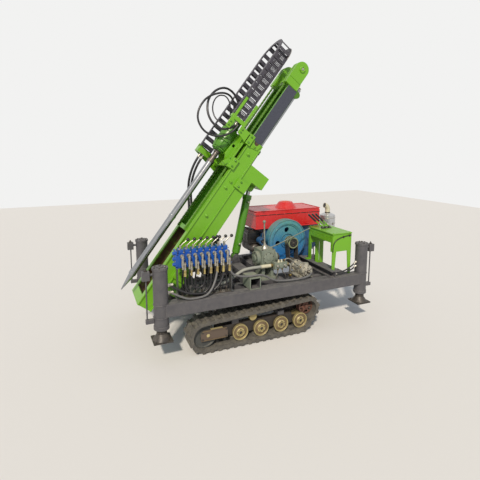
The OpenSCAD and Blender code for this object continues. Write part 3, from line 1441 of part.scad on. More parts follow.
module derrick_barrel() color("darkgreen") on_derrick() difference() {
  union() {
    bar_y(derrick_pin_d / 2 + 14, -derrick_eye_w / 2, derrick_eye_w / 2);
    block([0, -derrick_eye_w / 2, -24], [derrick_neck, derrick_eye_w / 2, 24]);
    bar([derrick_neck, 0, 0], [derrick_gland - 40, 0, 0], derrick_od / 2);
    bar([derrick_gland - 40, 0, 0], [derrick_gland, 0, 0], derrick_od / 2 + 5);
  }
  bar_y(derrick_pin_d / 2 + pin_play, -derrick_eye_w, derrick_eye_w);
  bar([derrick_neck + 16, 0, 0], [derrick_gland - 40, 0, 0], derrick_rod_d / 2 + 8);
  bar([derrick_gland - 42, 0, 0], [derrick_gland + 1, 0, 0], derrick_rod_d / 2 + pin_play);
}

// The rod ends in its eye with the pin in it, between the ears of the arm
module derrick_rod() color("gainsboro") on_derrick() {
  bar([derrick_neck + 22, 0, 0], [derrick_len - derrick_pin_d / 2, 0, 0], derrick_rod_d / 2);
  translate([derrick_len, 0, 0]) bar_y(derrick_pin_d / 2 + 13, -derrick_eye_w / 2, derrick_eye_w / 2);
}

chassis_frame();
leg_tubes();
lock_valves();
undercarriage();
track_frames();
track_near();
track_far();
track_rollers();
idler_wheels();
drive_sprockets();
leg_rod_front_near();
leg_rod_front_far();
leg_rod_rear_near();
leg_rod_rear_far();
mast_support();
mast_outer();
feed_barrel();
chain_bracket();
mast_inner();
sheave_heads();
chain_sheaves();
feed_chains();
feed_rod();
drag_chain_bend();
head_carriage();
rotary_head();
chain_fork();
head_hoses();
drag_chain_near();
drag_chain_far();
spindle_adaptor();
drill_rod();
derrick_barrel();
derrick_rod();
engine_block();
engine_flywheel();
water_hopper();
air_cleaner();
drive_belts();
pump_pulley();
hydraulic_pump();
gearbox();
oil_tank();
operator_console();
valve_bank();
valve_fittings();
valve_levers();
hydraulic_hoses();
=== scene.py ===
# %% [markdown]
# # A small tracked pile driver rig
# The real machine is welded steel, cast iron and rubber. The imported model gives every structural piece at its
# real place and size. This lesson keeps those pieces, gives each its finish, and then builds what a workshop adds
# last: hoses with crimped ends, bolts, weld beads, grease nipples, chain pins and control rods.

# %% Load the frame
import json
import math

import bmesh
import bpy
from mathutils import Matrix, Vector

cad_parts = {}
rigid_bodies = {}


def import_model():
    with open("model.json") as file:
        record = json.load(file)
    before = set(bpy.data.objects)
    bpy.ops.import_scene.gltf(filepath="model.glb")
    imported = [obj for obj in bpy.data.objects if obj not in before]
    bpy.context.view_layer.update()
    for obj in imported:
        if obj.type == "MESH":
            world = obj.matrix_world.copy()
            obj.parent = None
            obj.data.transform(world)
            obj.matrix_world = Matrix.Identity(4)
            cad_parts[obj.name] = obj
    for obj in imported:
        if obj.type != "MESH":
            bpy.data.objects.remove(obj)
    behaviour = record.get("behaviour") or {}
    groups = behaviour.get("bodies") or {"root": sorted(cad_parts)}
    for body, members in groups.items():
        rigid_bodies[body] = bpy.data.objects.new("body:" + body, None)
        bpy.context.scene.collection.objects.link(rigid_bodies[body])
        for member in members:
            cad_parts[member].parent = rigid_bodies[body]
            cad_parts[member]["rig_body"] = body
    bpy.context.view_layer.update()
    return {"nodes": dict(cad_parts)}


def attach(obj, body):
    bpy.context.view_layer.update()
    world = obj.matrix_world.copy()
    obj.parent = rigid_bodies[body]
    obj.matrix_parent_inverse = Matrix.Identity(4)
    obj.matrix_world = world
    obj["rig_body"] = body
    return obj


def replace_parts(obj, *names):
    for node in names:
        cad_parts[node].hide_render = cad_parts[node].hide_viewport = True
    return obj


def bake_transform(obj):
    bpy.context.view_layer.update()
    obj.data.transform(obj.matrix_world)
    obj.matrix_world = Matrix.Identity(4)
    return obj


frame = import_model()
parts = frame["nodes"]

# %% [markdown]
# The photograph was taken by a person standing about 3.5 m away, with the camera held at 1.65 m and tipped down a
# little. A lens of 27.75 mm on a 36 mm sensor gives the same spread. The picture's vanishing point lies above its
# middle, so the lens is shifted and not tipped further, which would make the legs lean.

# %% Camera
HEADING, TIP_DOWN = 67.2, 8.1
camera = bpy.data.objects.new("camera", bpy.data.cameras.new("camera"))
bpy.context.scene.collection.objects.link(camera)
bpy.context.scene.camera = camera
camera.location = (-1.42, -3.22, 1.65)
camera.rotation_euler = (math.radians(90 - TIP_DOWN), 0, math.radians(HEADING - 90))
camera.data.lens = 27.75
camera.data.sensor_width = 36
camera.data.shift_y = -0.078
camera.data.clip_end = 60
bpy.context.scene.view_settings.view_transform = "Standard"
print("camera at", tuple(round(v, 2) for v in camera.location))

# %% [markdown]
# Two sets of axes are used below. `row` takes x, y and z of the whole machine, in millimetres, and gives metres.
# `mast` takes a place in the leaning mast's own axes: s up the mast, y across it and n out of its front face. That
# way a bolt on the mast is placed as the fitter would, along the mast and not along the ground.

# %% Places on the machine and on the mast
MM = 0.001
LEAN = math.radians(53)
UP_MAST = Vector((math.cos(LEAN), 0, math.sin(LEAN)))
OUT_OF_MAST = Vector((-math.sin(LEAN), 0, math.cos(LEAN)))
AHEAD, ACROSS, UP = Vector((1, 0, 0)), Vector((0, 1, 0)), Vector((0, 0, 1))
NEAR = -ACROSS


def row(x, y, z):
    """A place on the machine, from millimetres to metres."""
    return Vector((x, y, z)) * MM


def mast(s, y, n):
    """A place s mm up the mast, y mm across it and n mm out of its front face, in metres."""
    return row(-762, y, 473) + UP_MAST * (s - 270) * MM + OUT_OF_MAST * (n + 185) * MM


def smooth(points, place=row):
    """A curve through chosen places, with one more point in the middle of each gap."""
    points = [place(*p) for p in points]
    line = []
    for i in range(len(points) - 1):
        a, b, c, d = (points[min(max(k, 0), len(points) - 1)] for k in (i - 1, i, i + 1, i + 2))
        line += [b, 0.5 * (2 * b + (c - a) * 0.5 + (2 * a - 5 * b + 4 * c - d) * 0.25
                           + (3 * b - 3 * c + d - a) * 0.125)]
    return line + [points[-1]]


print("the mast's top is at", tuple(round(v, 3) for v in mast(1738, 0, 0)))

# %% [markdown]
# ## Hoses
# A hydraulic hose is a rubber tube round a braid of steel wire. It is stiff, so it never turns tighter than about
# four of its own diameters, and it sags between its ends. A curve with a round section is the natural tool: the
# curve is the hose's middle line, and its two ends go into the machine.

# %% A hose as a curve, and the three at the head
hoses = {}


def hose(name, points, body, diameter, stands_for=None):
    curve = bpy.data.curves.new(name, "CURVE")
    curve.dimensions = "3D"
    curve.bevel_depth = diameter / 2 * MM
    curve.bevel_resolution = 5
    curve.resolution_u = 4
    curve.use_fill_caps = True
    line = curve.splines.new("BEZIER")
    line.bezier_points.add(len(points) - 1)
    for knot, point in zip(line.bezier_points, points):
        knot.co = point
        knot.handle_left_type = knot.handle_right_type = "AUTO"
    made = bpy.data.objects.new(name, curve)
    bpy.context.scene.collection.objects.link(made)
    bpy.context.view_layer.update()
    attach(made, body)
    if stands_for:
        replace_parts(made, stands_for)
    hoses[name] = (made, points)


# the pressure hose's loop, from the chain's moving end round to the motor
pressure_loop = [(1742, -162, 190), (1688, -160, 206), (1634, -150, 262), (1628, -130, 352), (1680, -100, 436),
                 (1787, -60, 487), (1908, -20, 470), (1992, 20, 405), (2012, 42, 313), (1972, 38, 230),
                 (1902, 14, 168), (1841, 0, 141)]
# the thinner drain inside it, which ends on the motor's far side
drain_loop = [(1744, -162, 240), (1700, -158, 252), (1674, -142, 296), (1682, -112, 358), (1737, -72, 412),
              (1820, -24, 434), (1900, 24, 414), (1948, 66, 352), (1934, 90, 282), (1874, 98, 224),
              (1812, 94, 190), (1787, 80, 168.5)]
# the return hose outside both, which the photograph shows lowest and furthest out
return_loop = [(1740, -162, 165), (1674, -162, 176), (1600, -158, 214), (1541, -148, 288), (1526, -136, 384),
               (1572, -122, 474), (1660, -110, 516), (1773, -94, 511), (1870, -74, 458), (1930, -50, 392),
               (1944, -28, 322), (1912, -10, 260), (1858, 0, 217)]
for name, n, loop, motor_end, diameter, solid in (
        ("head_pressure_hose", 190, pressure_loop, [mast(1815.3, 0, 139)], 20, "head_hoses"),
        ("head_drain_hose", 240, drain_loop, [], 12, "head_hoses"),
        ("head_return_hose", 165, return_loop, [mast(1790, 0, 184)], 18, None)):
    hose(name, [mast(1769.7, -162, n)] + smooth(loop, mast) + motor_end, "carriage", diameter, solid)
print("hoses so far:", len(hoses))

# %% [markdown]
# Under the valve bank two hoses hang in a U from one port to another. A U is drawn as two straight legs and half a
# circle, because a stiff hose spreads its bend over the widest arc that it has room for. Three more go off to the
# front leg and to the pump.

# %% Hoses from the valve bank's lower ports
BANK_X, SECTION_PITCH = -745, 54


def section(i, y, z):
    """A place on the valve bank's section number i."""
    return row(BANK_X + SECTION_PITCH * i, y, z)


def lower_port(i):
    """The lower row's port number i, 19 mm beside the middle of its section."""
    return row(BANK_X + SECTION_PITCH * i + 19, -445, 702)


def hanging_u(a, b, low):
    """Points of a U that hangs from port a to port b and reaches down to low, in mm."""
    start, end = lower_port(a), lower_port(b)
    radius = (end.x - start.x) / 2
    middle = Vector(((start.x + end.x) / 2, start.y, low * MM + radius))
    legs = [start + (Vector((start.x, start.y, middle.z)) - start) * k / 3 for k in range(3)]
    arc = [middle + radius * Vector((-math.cos(math.pi * k / 12), 0, -math.sin(math.pi * k / 12))) for k in range(13)]
    return legs + arc + [Vector((end.x, end.y, p.z)) for p in reversed(legs)]


hose("hose_loop_outer", hanging_u(0, 4, 486), "chassis", 18, "hydraulic_hoses")
hose("hose_loop_inner", hanging_u(1, 3, 546), "chassis", 13, "hydraulic_hoses")
# the first and last place of each lie straight out of their fittings
for name, places in {
        "leg_lift_hose": [(-872.7, -480, 556), (-858.7, -480, 556), (-800, -494, 526), (-720, -506, 491),
                          (-630, -508, 487), (-560, -503, 503), (-510, -487, 552), (-474, -462, 616),
                          (-456, -445, 676), (-456, -445, 702)],
        "leg_lower_hose": [(-872.7, -480, 616), (-858.7, -480, 616), (-800, -476, 572), (-710, -472, 522),
                           (-600, -471, 503), (-510, -470, 512), (-447, -465, 558), (-410, -454, 622),
                           (-402, -445, 676), (-402, -445, 702)],
        "pump_hose": [(-348, -445, 702), (-348, -445, 676), (-318, -452, 622), (-235, -464, 594), (-130, -468, 587),
                      (-66, -466, 585), (-5, -460, 558), (60, -455, 520), (160, -452, 497), (280, -462, 495),
                      (370, -470, 503), (428, -460, 510), (466, -428, 514), (476, -396, 515),
                      (476, -376.3, 515)]}.items():
    hose(name, [row(*places[0])] + smooth(places[1:-1]) + [row(*places[-1])], "chassis", 18, "hydraulic_hoses")
print("hoses so far:", len(hoses))

# %% [markdown]
# The upper row of ports feeds thinner hoses. They drop between the lower ones, swing back under the bank and go
# down to a row of bulkhead fittings on the side beam. Two thick hoses run down the mast's far side, outside the
# carriage's claws, two thin ones go to the rear leg, and the pale suction hose crosses the tube to the gearbox.

# %% The other hoses
for i in range(8):
    hose(f"bank_hose_{i + 1}", smooth([(i, -453 + y, 756 + z) for y, z in (
        (0, 0), (0, -34), (2, -62), (14, -96), (30, -132), (37, -168), (36, -206), (34, -244), (34, -267))], section),
        "chassis", 13)
for k, n in enumerate((186, 218)):
    hose(f"mast_hose_{k + 1}", smooth([
        (1400, 150, n), (1370, 150, n), (1300, 152, n - 6), (1220, 162, n - 26), (1140, 182, n - 62),
        (1070, 203, n - 110), (1010, 215, n - 158), (955, 217, n - 204), (900, 213, n - 242),
        (845, 200, n - 266), (800, 188, n - 277), (760, 184, n - 280)], mast), "mast", 22)
for k in range(2):
    hose(f"rear_leg_hose_{k + 1}", smooth([
        (680.3, -468 - 18 * k, 506 - 8 * k), (715, -468 - 18 * k, 504 - 8 * k), (770, -470 - 14 * k, 504 - 10 * k),
        (830, -474 - 8 * k, 518 - 18 * k), (885, -478 - 3 * k, 548 - 32 * k), (920, -480, 572 - 38 * k),
        (942.7, -480, 588 - 40 * k)]), "chassis", 13)
hose("suction_hose", smooth([
    (-398, -305, 496), (-350, -304, 499), (-290, -304, 520), (-230, -308, 558), (-170, -316, 592), (-110, -322, 604),
    (-50, -324, 606), (0, -324, 606), (50, -324, 606), (92, -324, 606)]), "chassis", 28)
print("hoses:", len(hoses))

# %% [markdown]
# ## Colour, nodes and light
# Colours are written as sRGB hex values, as a paint chart gives them, and one function turns them to the linear
# values that a renderer adds up. A second small function adds a node with its settings and links.

# %% Helpers for colour and nodes
def linear(hex_code, alpha=1.0):
    """An sRGB hex colour as the linear values that Blender's sockets take."""
    channels = [int(hex_code[i:i + 2], 16) / 255 for i in (1, 3, 5)]
    return tuple(c / 12.92 if c <= 0.04045 else ((c + 0.055) / 1.055) ** 2.4 for c in channels) + (alpha,)


def add(tree, kind, inputs=None, out=0, **settings):
    """Adds a node, with values or other nodes' sockets in its inputs, and gives one of its outputs."""
    made = tree.nodes.new("ShaderNode" + kind)
    for name, value in settings.items():
        setattr(made, name, value)
    for key, value in (inputs or {}).items():
        if isinstance(value, bpy.types.NodeSocket):
            tree.links.new(value, made.inputs[key])
        else:
            made.inputs[key].default_value = value
    return made.outputs[out] if made.outputs else None


print("leaf green as light:", [round(c, 3) for c in linear("#70af1c")])

# %% [markdown]
# A plain studio: one broad sun from behind the camera's left shoulder, as in the photograph, with a soft edge to
# its shadows, and an even bluish fill for the sky. The camera, mirrors and glass see a pale surround instead, so
# the backdrop is pale without any more light on the machine.

# %% Studio surround, sun and floor
world = bpy.data.worlds.new("studio")
bpy.context.scene.world = world
world.use_nodes = True
sky = world.node_tree
sky.nodes.clear()
rays = add(sky, "LightPath").node.outputs
seen = add(sky, "Math", {0: rays["Is Camera Ray"], 1: rays["Is Glossy Ray"]}, operation="MAXIMUM")
seen = add(sky, "Math", {0: seen, 1: rays["Is Transmission Ray"]}, operation="MAXIMUM")
fill = add(sky, "Background", {"Color": linear("#dbe4f2"), "Strength": 0.5})
pale = add(sky, "Background", {"Color": linear("#f2f2f1"), "Strength": 1.0})
add(sky, "OutputWorld", {"Surface": add(sky, "MixShader", {0: seen, 1: fill, 2: pale})})

sun = bpy.data.objects.new("sun", bpy.data.lights.new("sun", "SUN"))
bpy.context.scene.collection.objects.link(sun)
sun.rotation_euler = Vector((0.39, 0.64, -0.67)).to_track_quat("-Z", "Y").to_euler()
sun.data.energy = 3.3
sun.data.angle = math.radians(4)
sun.data.color = linear("#fff4e4")[:3]

floor_mesh = bpy.data.meshes.new("floor")
floor_mesh.from_pydata([(-9, -9, 0), (9, -9, 0), (9, 9, 0), (-9, 9, 0)], [], [(0, 1, 2, 3)])
floor = bpy.data.objects.new("floor", floor_mesh)
bpy.context.scene.collection.objects.link(floor)
floor.location.z = -0.002
paper = bpy.data.materials.new("studio_paper")
paper.use_nodes = True
paper.node_tree.nodes["Principled BSDF"].inputs["Base Color"].default_value = linear("#dedcd8")
paper.node_tree.nodes["Principled BSDF"].inputs["Roughness"].default_value = 0.9
floor_mesh.materials.append(paper)

# %% [markdown]
# ## Finishes
# Almost every surface here is paint over rolled steel, and all of it has stood outdoors. Dust settles on what faces
# up, in patches. Paint rubs off where two faces meet, and there the edges are also painted paler as a painted
# highlight. Each finish is built from those two layers, so they are two helpers: the first lays dust over a colour,
# the second bares the edges and paints their highlight.

# %% Dust, and worn edges with a painted highlight
finish = {}


def begin(name):
    """A new finish: its tree and the place on the object."""
    finish[name] = bpy.data.materials.new(name)
    finish[name].use_nodes = True
    return finish[name].node_tree, add(finish[name].node_tree, "TexCoord", out="Object")


def close(tree, **sockets):
    """Links sockets to the Principled shader. An underscore in a name stands for a space."""
    for name, socket in sockets.items():
        tree.links.new(socket, tree.nodes["Principled BSDF"].inputs[name.replace("_", " ")])


def dusty(tree, place, coat, dust, most, least_up=-0.3, everywhere=0.12, scale=22.0):
    """Lays dust over a coat: most of it on what faces up, in patches of 20 to 60 mm. Gives colour and amount."""
    facing = add(tree, "SeparateXYZ", {0: add(tree, "TexCoord", out="Normal")}, "Z")
    patches = add(tree, "TexNoise", {"Vector": place, "Scale": scale, "Detail": 8.0, "Roughness": 0.7})
    upward = add(tree, "MapRange", {0: facing, 1: least_up, 2: 1.0, 3: everywhere, 4: 1.0})
    amount = add(tree, "MapRange", {0: patches, 1: 0.33, 2: 0.72, 3: 0.1 * most, 4: most})
    much = add(tree, "Math", {0: upward, 1: amount}, operation="MULTIPLY")
    return add(tree, "Mix", {0: much, 6: coat, 7: linear(dust)}, 2, data_type="RGBA"), much


def worn_and_highlit(tree, place, coat, bare, most, round_mm):
    """Bares the edges in chips of a few millimetres, in a bare colour that for glossy paints is paler than the paint,
    so it is wear and a painted highlight. Gives the colour and a normal that rounds each edge.
    """
    rounded = add(tree, "Bevel", {"Radius": round_mm * MM}, samples=4)
    bend = add(tree, "VectorMath", {0: rounded, 1: add(tree, "NewGeometry", out="Normal")}, "Value",
               operation="DOT_PRODUCT")
    edge = add(tree, "MapRange", {0: bend, 1: 0.995, 2: 0.8, 3: 0.0, 4: 1.0})
    chips = add(tree, "TexNoise", {"Vector": place, "Scale": 60.0, "Detail": 6.0, "Roughness": 0.75})
    chipped = add(tree, "MapRange", {0: chips, 1: 0.45, 2: 0.6, 3: 0.15 * most, 4: most})
    # where edges are rubbed the bare colour goes on, which on glossy paints is a painted highlight as well as wear
    rubbed = add(tree, "Math", {0: edge, 1: chipped}, operation="MULTIPLY")
    return add(tree, "Mix", {0: rubbed, 6: coat, 7: linear(bare)}, 2, data_type="RGBA"), rounded


print("two layers ready: dust and worn edges")

# %% [markdown]
# Sprayed enamel is smooth and fairly glossy. Its colour drifts a little over a hand's breadth because no two passes
# of the gun are the same, it has a fine orange-peel bump with grains about 2 mm across, and it goes matt where dust
# lies. The orange peel would be too fine to see at this size, so its grains are drawn 4 mm across.

# %% Sprayed enamel
# bare is the rubbed edges' colour; for glossy paints it is a paler copy of the paint, so it is a painted highlight too
def enamel(name, colour, shade, dust="#a3937b", dusting=0.3, gloss=0.34, wear_and_highlight=0.25, bare="#8c8a86",
           over=None, second=None, dark_inside=None):
    """Sprayed paint: its colour drifts to shade, dust lies on it, and its edges are rubbed to bare, which for glossy
    paints is a paler colour and so also a painted highlight.
    """
    tree, place = begin(name)
    drift = add(tree, "TexNoise", {"Vector": place, "Scale": 5.0, "Detail": 4.0, "Roughness": 0.6})
    coat = add(tree, "Mix", {0: drift, 6: linear(colour), 7: linear(shade)}, 2, data_type="RGBA")
    if over:
        # a painted highlight in a second colour, strongest towards one side
        tint, axis, low, high = over
        reach = add(tree, "MapRange", {0: add(tree, "SeparateXYZ", {0: place}, axis), 1: low, 2: high, 3: 0.0, 4: 1.0})
        share = add(tree, "Math", {0: reach, 1: drift}, operation="MULTIPLY")
        coat = add(tree, "Mix", {0: share, 6: coat, 7: linear(tint)}, 2, data_type="RGBA")
    if second:
        # a bolted-on piece of the same casting that was painted another colour, from one place on
        tint, axis, side, edge = second
        along = add(tree, "SeparateXYZ", {0: place}, axis[-1])
        if axis == "both sides Y":
            along = add(tree, "Math", {0: along}, operation="ABSOLUTE")
        share = add(tree, "Math", {0: along, 1: edge}, operation=side)
        coat = add(tree, "Mix", {0: share, 6: coat, 7: linear(tint)}, 2, data_type="RGBA")
    if dark_inside:
        # a darker brown inside a hollow: nearer to the middle than its walls, and between its front and its back
        tint, node, half_width, front, back = dark_inside
        home = parts[node].matrix_world.inverted()
        outward = home.to_3x3() @ OUT_OF_MAST
        across = add(tree, "Math", {0: add(tree, "SeparateXYZ", {0: place}, "Y")}, operation="ABSOLUTE")
        between = add(tree, "Math", {0: across, 1: half_width * MM}, operation="LESS_THAN")
        depth = add(tree, "VectorMath", {0: place, 1: outward}, "Value", operation="DOT_PRODUCT")
        behind = add(tree, "Math", {0: depth, 1: outward.dot(home @ mast(0, 0, (front + back) / 2)),
                                    2: (front - back) / 2 * MM}, operation="COMPARE")
        blotches = add(tree, "TexNoise", {"Vector": place, "Scale": 12.0, "Detail": 8.0, "Roughness": 0.7})
        # how strongly the darker brown is laid on
        thick = add(tree, "MapRange", {0: blotches, 1: 0.3, 2: 0.5, 3: 0.4, 4: 1.0})
        inside = add(tree, "Math", {0: between, 1: behind}, operation="MULTIPLY")
        share = add(tree, "Math", {0: inside, 1: thick}, operation="MULTIPLY")
        coat = add(tree, "Mix", {0: share, 6: coat, 7: linear(tint)}, 2, data_type="RGBA")
    coat, much = dusty(tree, place, coat, dust, dusting)
    coat, rounded = worn_and_highlit(tree, place, coat, bare, wear_and_highlight, 3.0)
    matt = add(tree, "MapRange", {0: much, 1: 0.0, 2: 0.5, 3: gloss, 4: 0.85})
    peel = add(tree, "TexNoise", {"Vector": place, "Scale": 250.0, "Detail": 2.0})
    bump = add(tree, "Bump", {"Height": peel, "Strength": 0.08, "Distance": 0.002, "Normal": rounded})
    close(tree, Base_Color=coat, Roughness=matt, Normal=bump)


print("enamel ready")

# %% [markdown]
# The machine has a fresh leaf green on its mast and an older, greasy one on what slides, greys on the chassis, and
# blue, red and primer on the parts that were bought in. It is one recipe with other numbers, so each paint takes one
# line. The rubbed edges of glossy paint are given a paler copy of the paint, which is wear and a painted highlight,
# and those of primer show dark iron.

# %% The machine's paints
# each line gives the name, colour, shade, dust's colour and share, gloss, wear and edge highlight, and the rubbed
# edges' colour leaf green, the colour of mast, console and clamps: bright, and paler along its rubbed edges, as wear
# and a painted highlight
enamel("leaf_green_enamel", "#70af1c", "#65a118", "#a3937b", 0.15, 0.3, 0.45, "#a9d860")
# the same paint on the outer mast, whose inside is painted a darker brown
enamel("green_enamel_dark_inside", "#70af1c", "#65a118", "#a3937b", 0.15, 0.3, 0.45, "#a9d860",
       dark_inside=("#4a3626", "mast_outer", 158.5, -10.5, -131))
# the same green a year older on the inner mechanism, dulled by grease
enamel("greased_green_enamel", "#5f9420", "#3f6b1a", "#6b6446", 0.4, 0.4, 0.3, "#8aa35a")
# the chassis: a warm dark grey that shows every speck of dust
enamel("chassis_grey_enamel", "#4c4b50", "#414146", "#8a8682", 0.65, 0.46, 0.55, "#9b9894")
# the track frames: dark brown-grey darkened near black as painted shade, and the tensioners' guard plates on both sides
# brown with dried mud
enamel("shaded_dark_frame_enamel", "#2c2826", "#211f1e", "#6d6154", 0.45, 0.55, 0.4, "#6b5f52",
       second=("#574a40", "both sides Y", "GREATER_THAN", 0.4935))
# the cylinders, the head and some bolts: a deeper green, partly painted shade for the mast's shadow, with a wet shine
enamel("shaded_deep_green_enamel", "#4f8f1a", "#3f7a17", "#a3937b", 0.16, 0.26, 0.35, "#8fc04a")
# the oil tank is nearly black under a film of dust
enamel("tank_grey_enamel", "#3f4446", "#33383a", "#8d8675", 0.6, 0.45)
# strong glossy blue of the valve sections, over an iron block
enamel("valve_blue_enamel", "#0d5abc", "#0a4290", "#9c9a94", 0.1, 0.26, 0.35, "#7d9cc8",
       second=("#454443", "Z", "LESS_THAN", 0.7215))
# engine blue, a shade greener and dustier, and darker as painted shade for the shadow the engine stands in
enamel("shaded_engine_blue_enamel", "#195a90", "#12446e", "#8f8a72", 0.3, 0.3, 0.25, "#6d8da0")
# the flywheel is the same blue, with a painted teal-green highlight that grows towards its top
enamel("flywheel_enamel", "#1f74bd", "#1a639f", "#8f9a70", 0.2, 0.24, 0.25, "#6fae9a",
       over=("#74b070", "Z", 0.6, 0.9), second=("#a3a984", "Y", "LESS_THAN", -0.036))
# the hopper's signal red, shiny as new, and its cap a little more orange
enamel("hopper_red_enamel", "#cf1f24", "#b8161b", "#c9b3a4", 0.13, 0.24, 0.2, "#d8786c")
enamel("cap_orange_enamel", "#d8402a", "#c23321", "#a3937b", 0.15, 0.3)
# grey-green primer on castings that were never painted, matt and chipped, and a yellower one on the pulley
enamel("gearbox_primer", "#7c877a", "#667065", "#a49c84", 0.5, 0.5, 0.4, "#5c5850")
enamel("pulley_enamel", "#8f9a74", "#727d5c", "#a49c84", 0.3, 0.35, 0.4, "#5c5850")
print("enamels:", sorted(finish))

# %% [markdown]
# Bare metals keep the default IOR and are fully metallic where they are clean. Hard chrome is the smoothest. Turned
# steel is duller, cast iron is mottled, and zinc plate passivated in yellow turns patchy and browns with rust.

# %% Metals
def metal(name, colour, shade, rough, metallic=1.0, grain=90.0, dusting=0.25, spread=0.12, bump_mm=0.05,
          dust="#9b8d78", patchy=0.3):
    """A metal: its colour drifts to shade in spots, its roughness wanders by spread, and dust dulls it."""
    tree, place = begin(name)
    spots = add(tree, "TexNoise", {"Vector": place, "Scale": grain, "Detail": 6.0, "Roughness": 0.65})
    mottle = add(tree, "MapRange", {0: spots, 1: patchy, 2: 0.7})
    coat = add(tree, "Mix", {0: mottle, 6: linear(colour), 7: linear(shade)}, 2, data_type="RGBA")
    coat, much = dusty(tree, place, coat, dust, dusting, everywhere=0.2)
    shine = add(tree, "MapRange", {0: spots, 1: 0.3, 2: 0.7, 3: max(rough - spread, 0.05), 4: rough + spread})
    bare = add(tree, "MapRange", {0: much, 1: 0.0, 2: 0.6, 3: metallic, 4: 0.0})
    rounded = add(tree, "Bevel", {"Radius": 1.5 * MM}, samples=4)
    bump = add(tree, "Bump", {"Height": spots, "Strength": 0.5, "Distance": bump_mm * MM, "Normal": rounded})
    close(tree, Base_Color=coat, Roughness=shine, Metallic=bare, Normal=bump)


# each line gives the name, colour, shade, roughness, how metallic it is, the spots' scale and the dust's share
# mirror-like rods, bright fittings, and steel that has dulled or gone black
metal("hard_chrome", "#a6a8ab", "#8d8f93", 0.2, 1.0, 30.0, 0.1, spread=0.06)
metal("zinc_plated_steel", "#bdbab0", "#9a968b", 0.34, 1.0, 90.0, 0.2)
metal("dull_steel", "#5f5c59", "#3f3c3a", 0.45, 0.75, 26.0, 0.5)
metal("blackened_steel", "#3c3a3a", "#2a2828", 0.5, 0.5, 26.0, 0.55, dust="#877d70")
# the rollers: patchy pale gold rims, brown webs and hubs that sand keeps light
metal("roller_zinc_plate", "#a89a66", "#7a6a4c", 0.44, 0.4, 7.0, 0.35, patchy=0.4)
metal("roller_web_rust", "#7d6b4c", "#574736", 0.6, 0.2, 14.0, 0.3)
metal("pale_hub_zinc", "#cbbf8d", "#ab9c6c", 0.4, 0.35, 18.0, 0.15)
# gold hose shells, brass nuts, and the sprockets' red-brown rust
metal("yellow_zinc_plate", "#b8a96a", "#86734e", 0.42, 0.5, 9.0, 0.4, patchy=0.4)
metal("brass", "#a08a52", "#77673f", 0.5, 1.0, 90.0, 0.3)
metal("rusty_iron", "#7a4c3c", "#463733", 0.7, 0.25, 30.0, bump_mm=0.4)
# rough grey iron, silver paint like new, the pump's pale rough casting, and old ivory paint
metal("cast_iron", "#6a675f", "#4c4a45", 0.6, 0.4, 60.0, 0.35, bump_mm=0.3)
metal("silver_lacquer", "#c9cbcd", "#b2b4b8", 0.36, 0.8, 90.0, 0.12)
metal("cast_aluminium", "#d2cfc3", "#a8a596", 0.5, 0.6, 120.0, bump_mm=0.3)
metal("ivory_lacquer", "#d6d2ba", "#bdb89c", 0.45, 0.1, 90.0, 0.2)
print("metals and enamels:", len(finish))

# %% [markdown]
# Rubber and moulded nylon are not metals. Rubber is dull and greys with dust, most of all on the faces that touch
# the ground. Nylon is smoother, and shows a soft broad shine.

# %% Rubber and nylon
def polymer(name, colour, dust, dusting, rough, bump_mm, grain=70.0, all_over=0.4):
    """A dark polymer: dust lies in patches all over it, and more where it faces up."""
    tree, place = begin(name)
    coat, much = dusty(tree, place, linear(colour), dust, dusting, least_up=-0.5, everywhere=all_over, scale=24.0)
    grit = add(tree, "TexNoise", {"Vector": place, "Scale": grain, "Detail": 5.0, "Roughness": 0.7})
    coat, rounded = worn_and_highlit(tree, place, coat, dust, 0.5, 2.5)
    bump = add(tree, "Bump", {"Height": grit, "Strength": 0.6, "Distance": bump_mm * MM, "Normal": rounded})
    shine = add(tree, "MapRange", {0: much, 1: 0.0, 2: 0.5, 3: rough, 4: 0.9})
    close(tree, Base_Color=coat, Roughness=shine, Normal=bump)


# each line gives the name, colour, dust's colour and share, roughness, bump in mm and the grains' scale
# track belts grey with dry soil
polymer("track_rubber", "#3a393a", "#8d8778", 0.75, 0.75, 1.5, 45.0)
# hoses: black and smooth, two painted lighter grey as a painted sheen from the sun, and the pale one for suction
polymer("hose_rubber", "#1c1c1f", "#77747a", 0.14, 0.3, 0.05, 300.0)
polymer("sheen_grey_hose_rubber", "#56575b", "#a8a393", 0.3, 0.35, 0.05, 300.0)
polymer("suction_hose_rubber", "#8f928c", "#b8b3a3", 0.4, 0.5, 0.05, 300.0)
# black belts, links with a bluish sheen, and hard glossy knobs
polymer("belt_rubber", "#212126", "#8d8778", 0.16, 0.6, 0.1)
polymer("moulded_nylon", "#34323f", "#8d8778", 0.2, 0.42, 0.1, 200.0, 0.2)
polymer("black_phenolic", "#161618", "#8d8778", 0.12, 0.25, 0.02, all_over=0.1)
print("finishes:", len(finish))

# %% [markdown]
# The inner mast is sprayed green like the rest, but its two sides slide in the outer mast and are coated with dark
# grease. The finish tells them apart by how far they lie from the mast's middle.

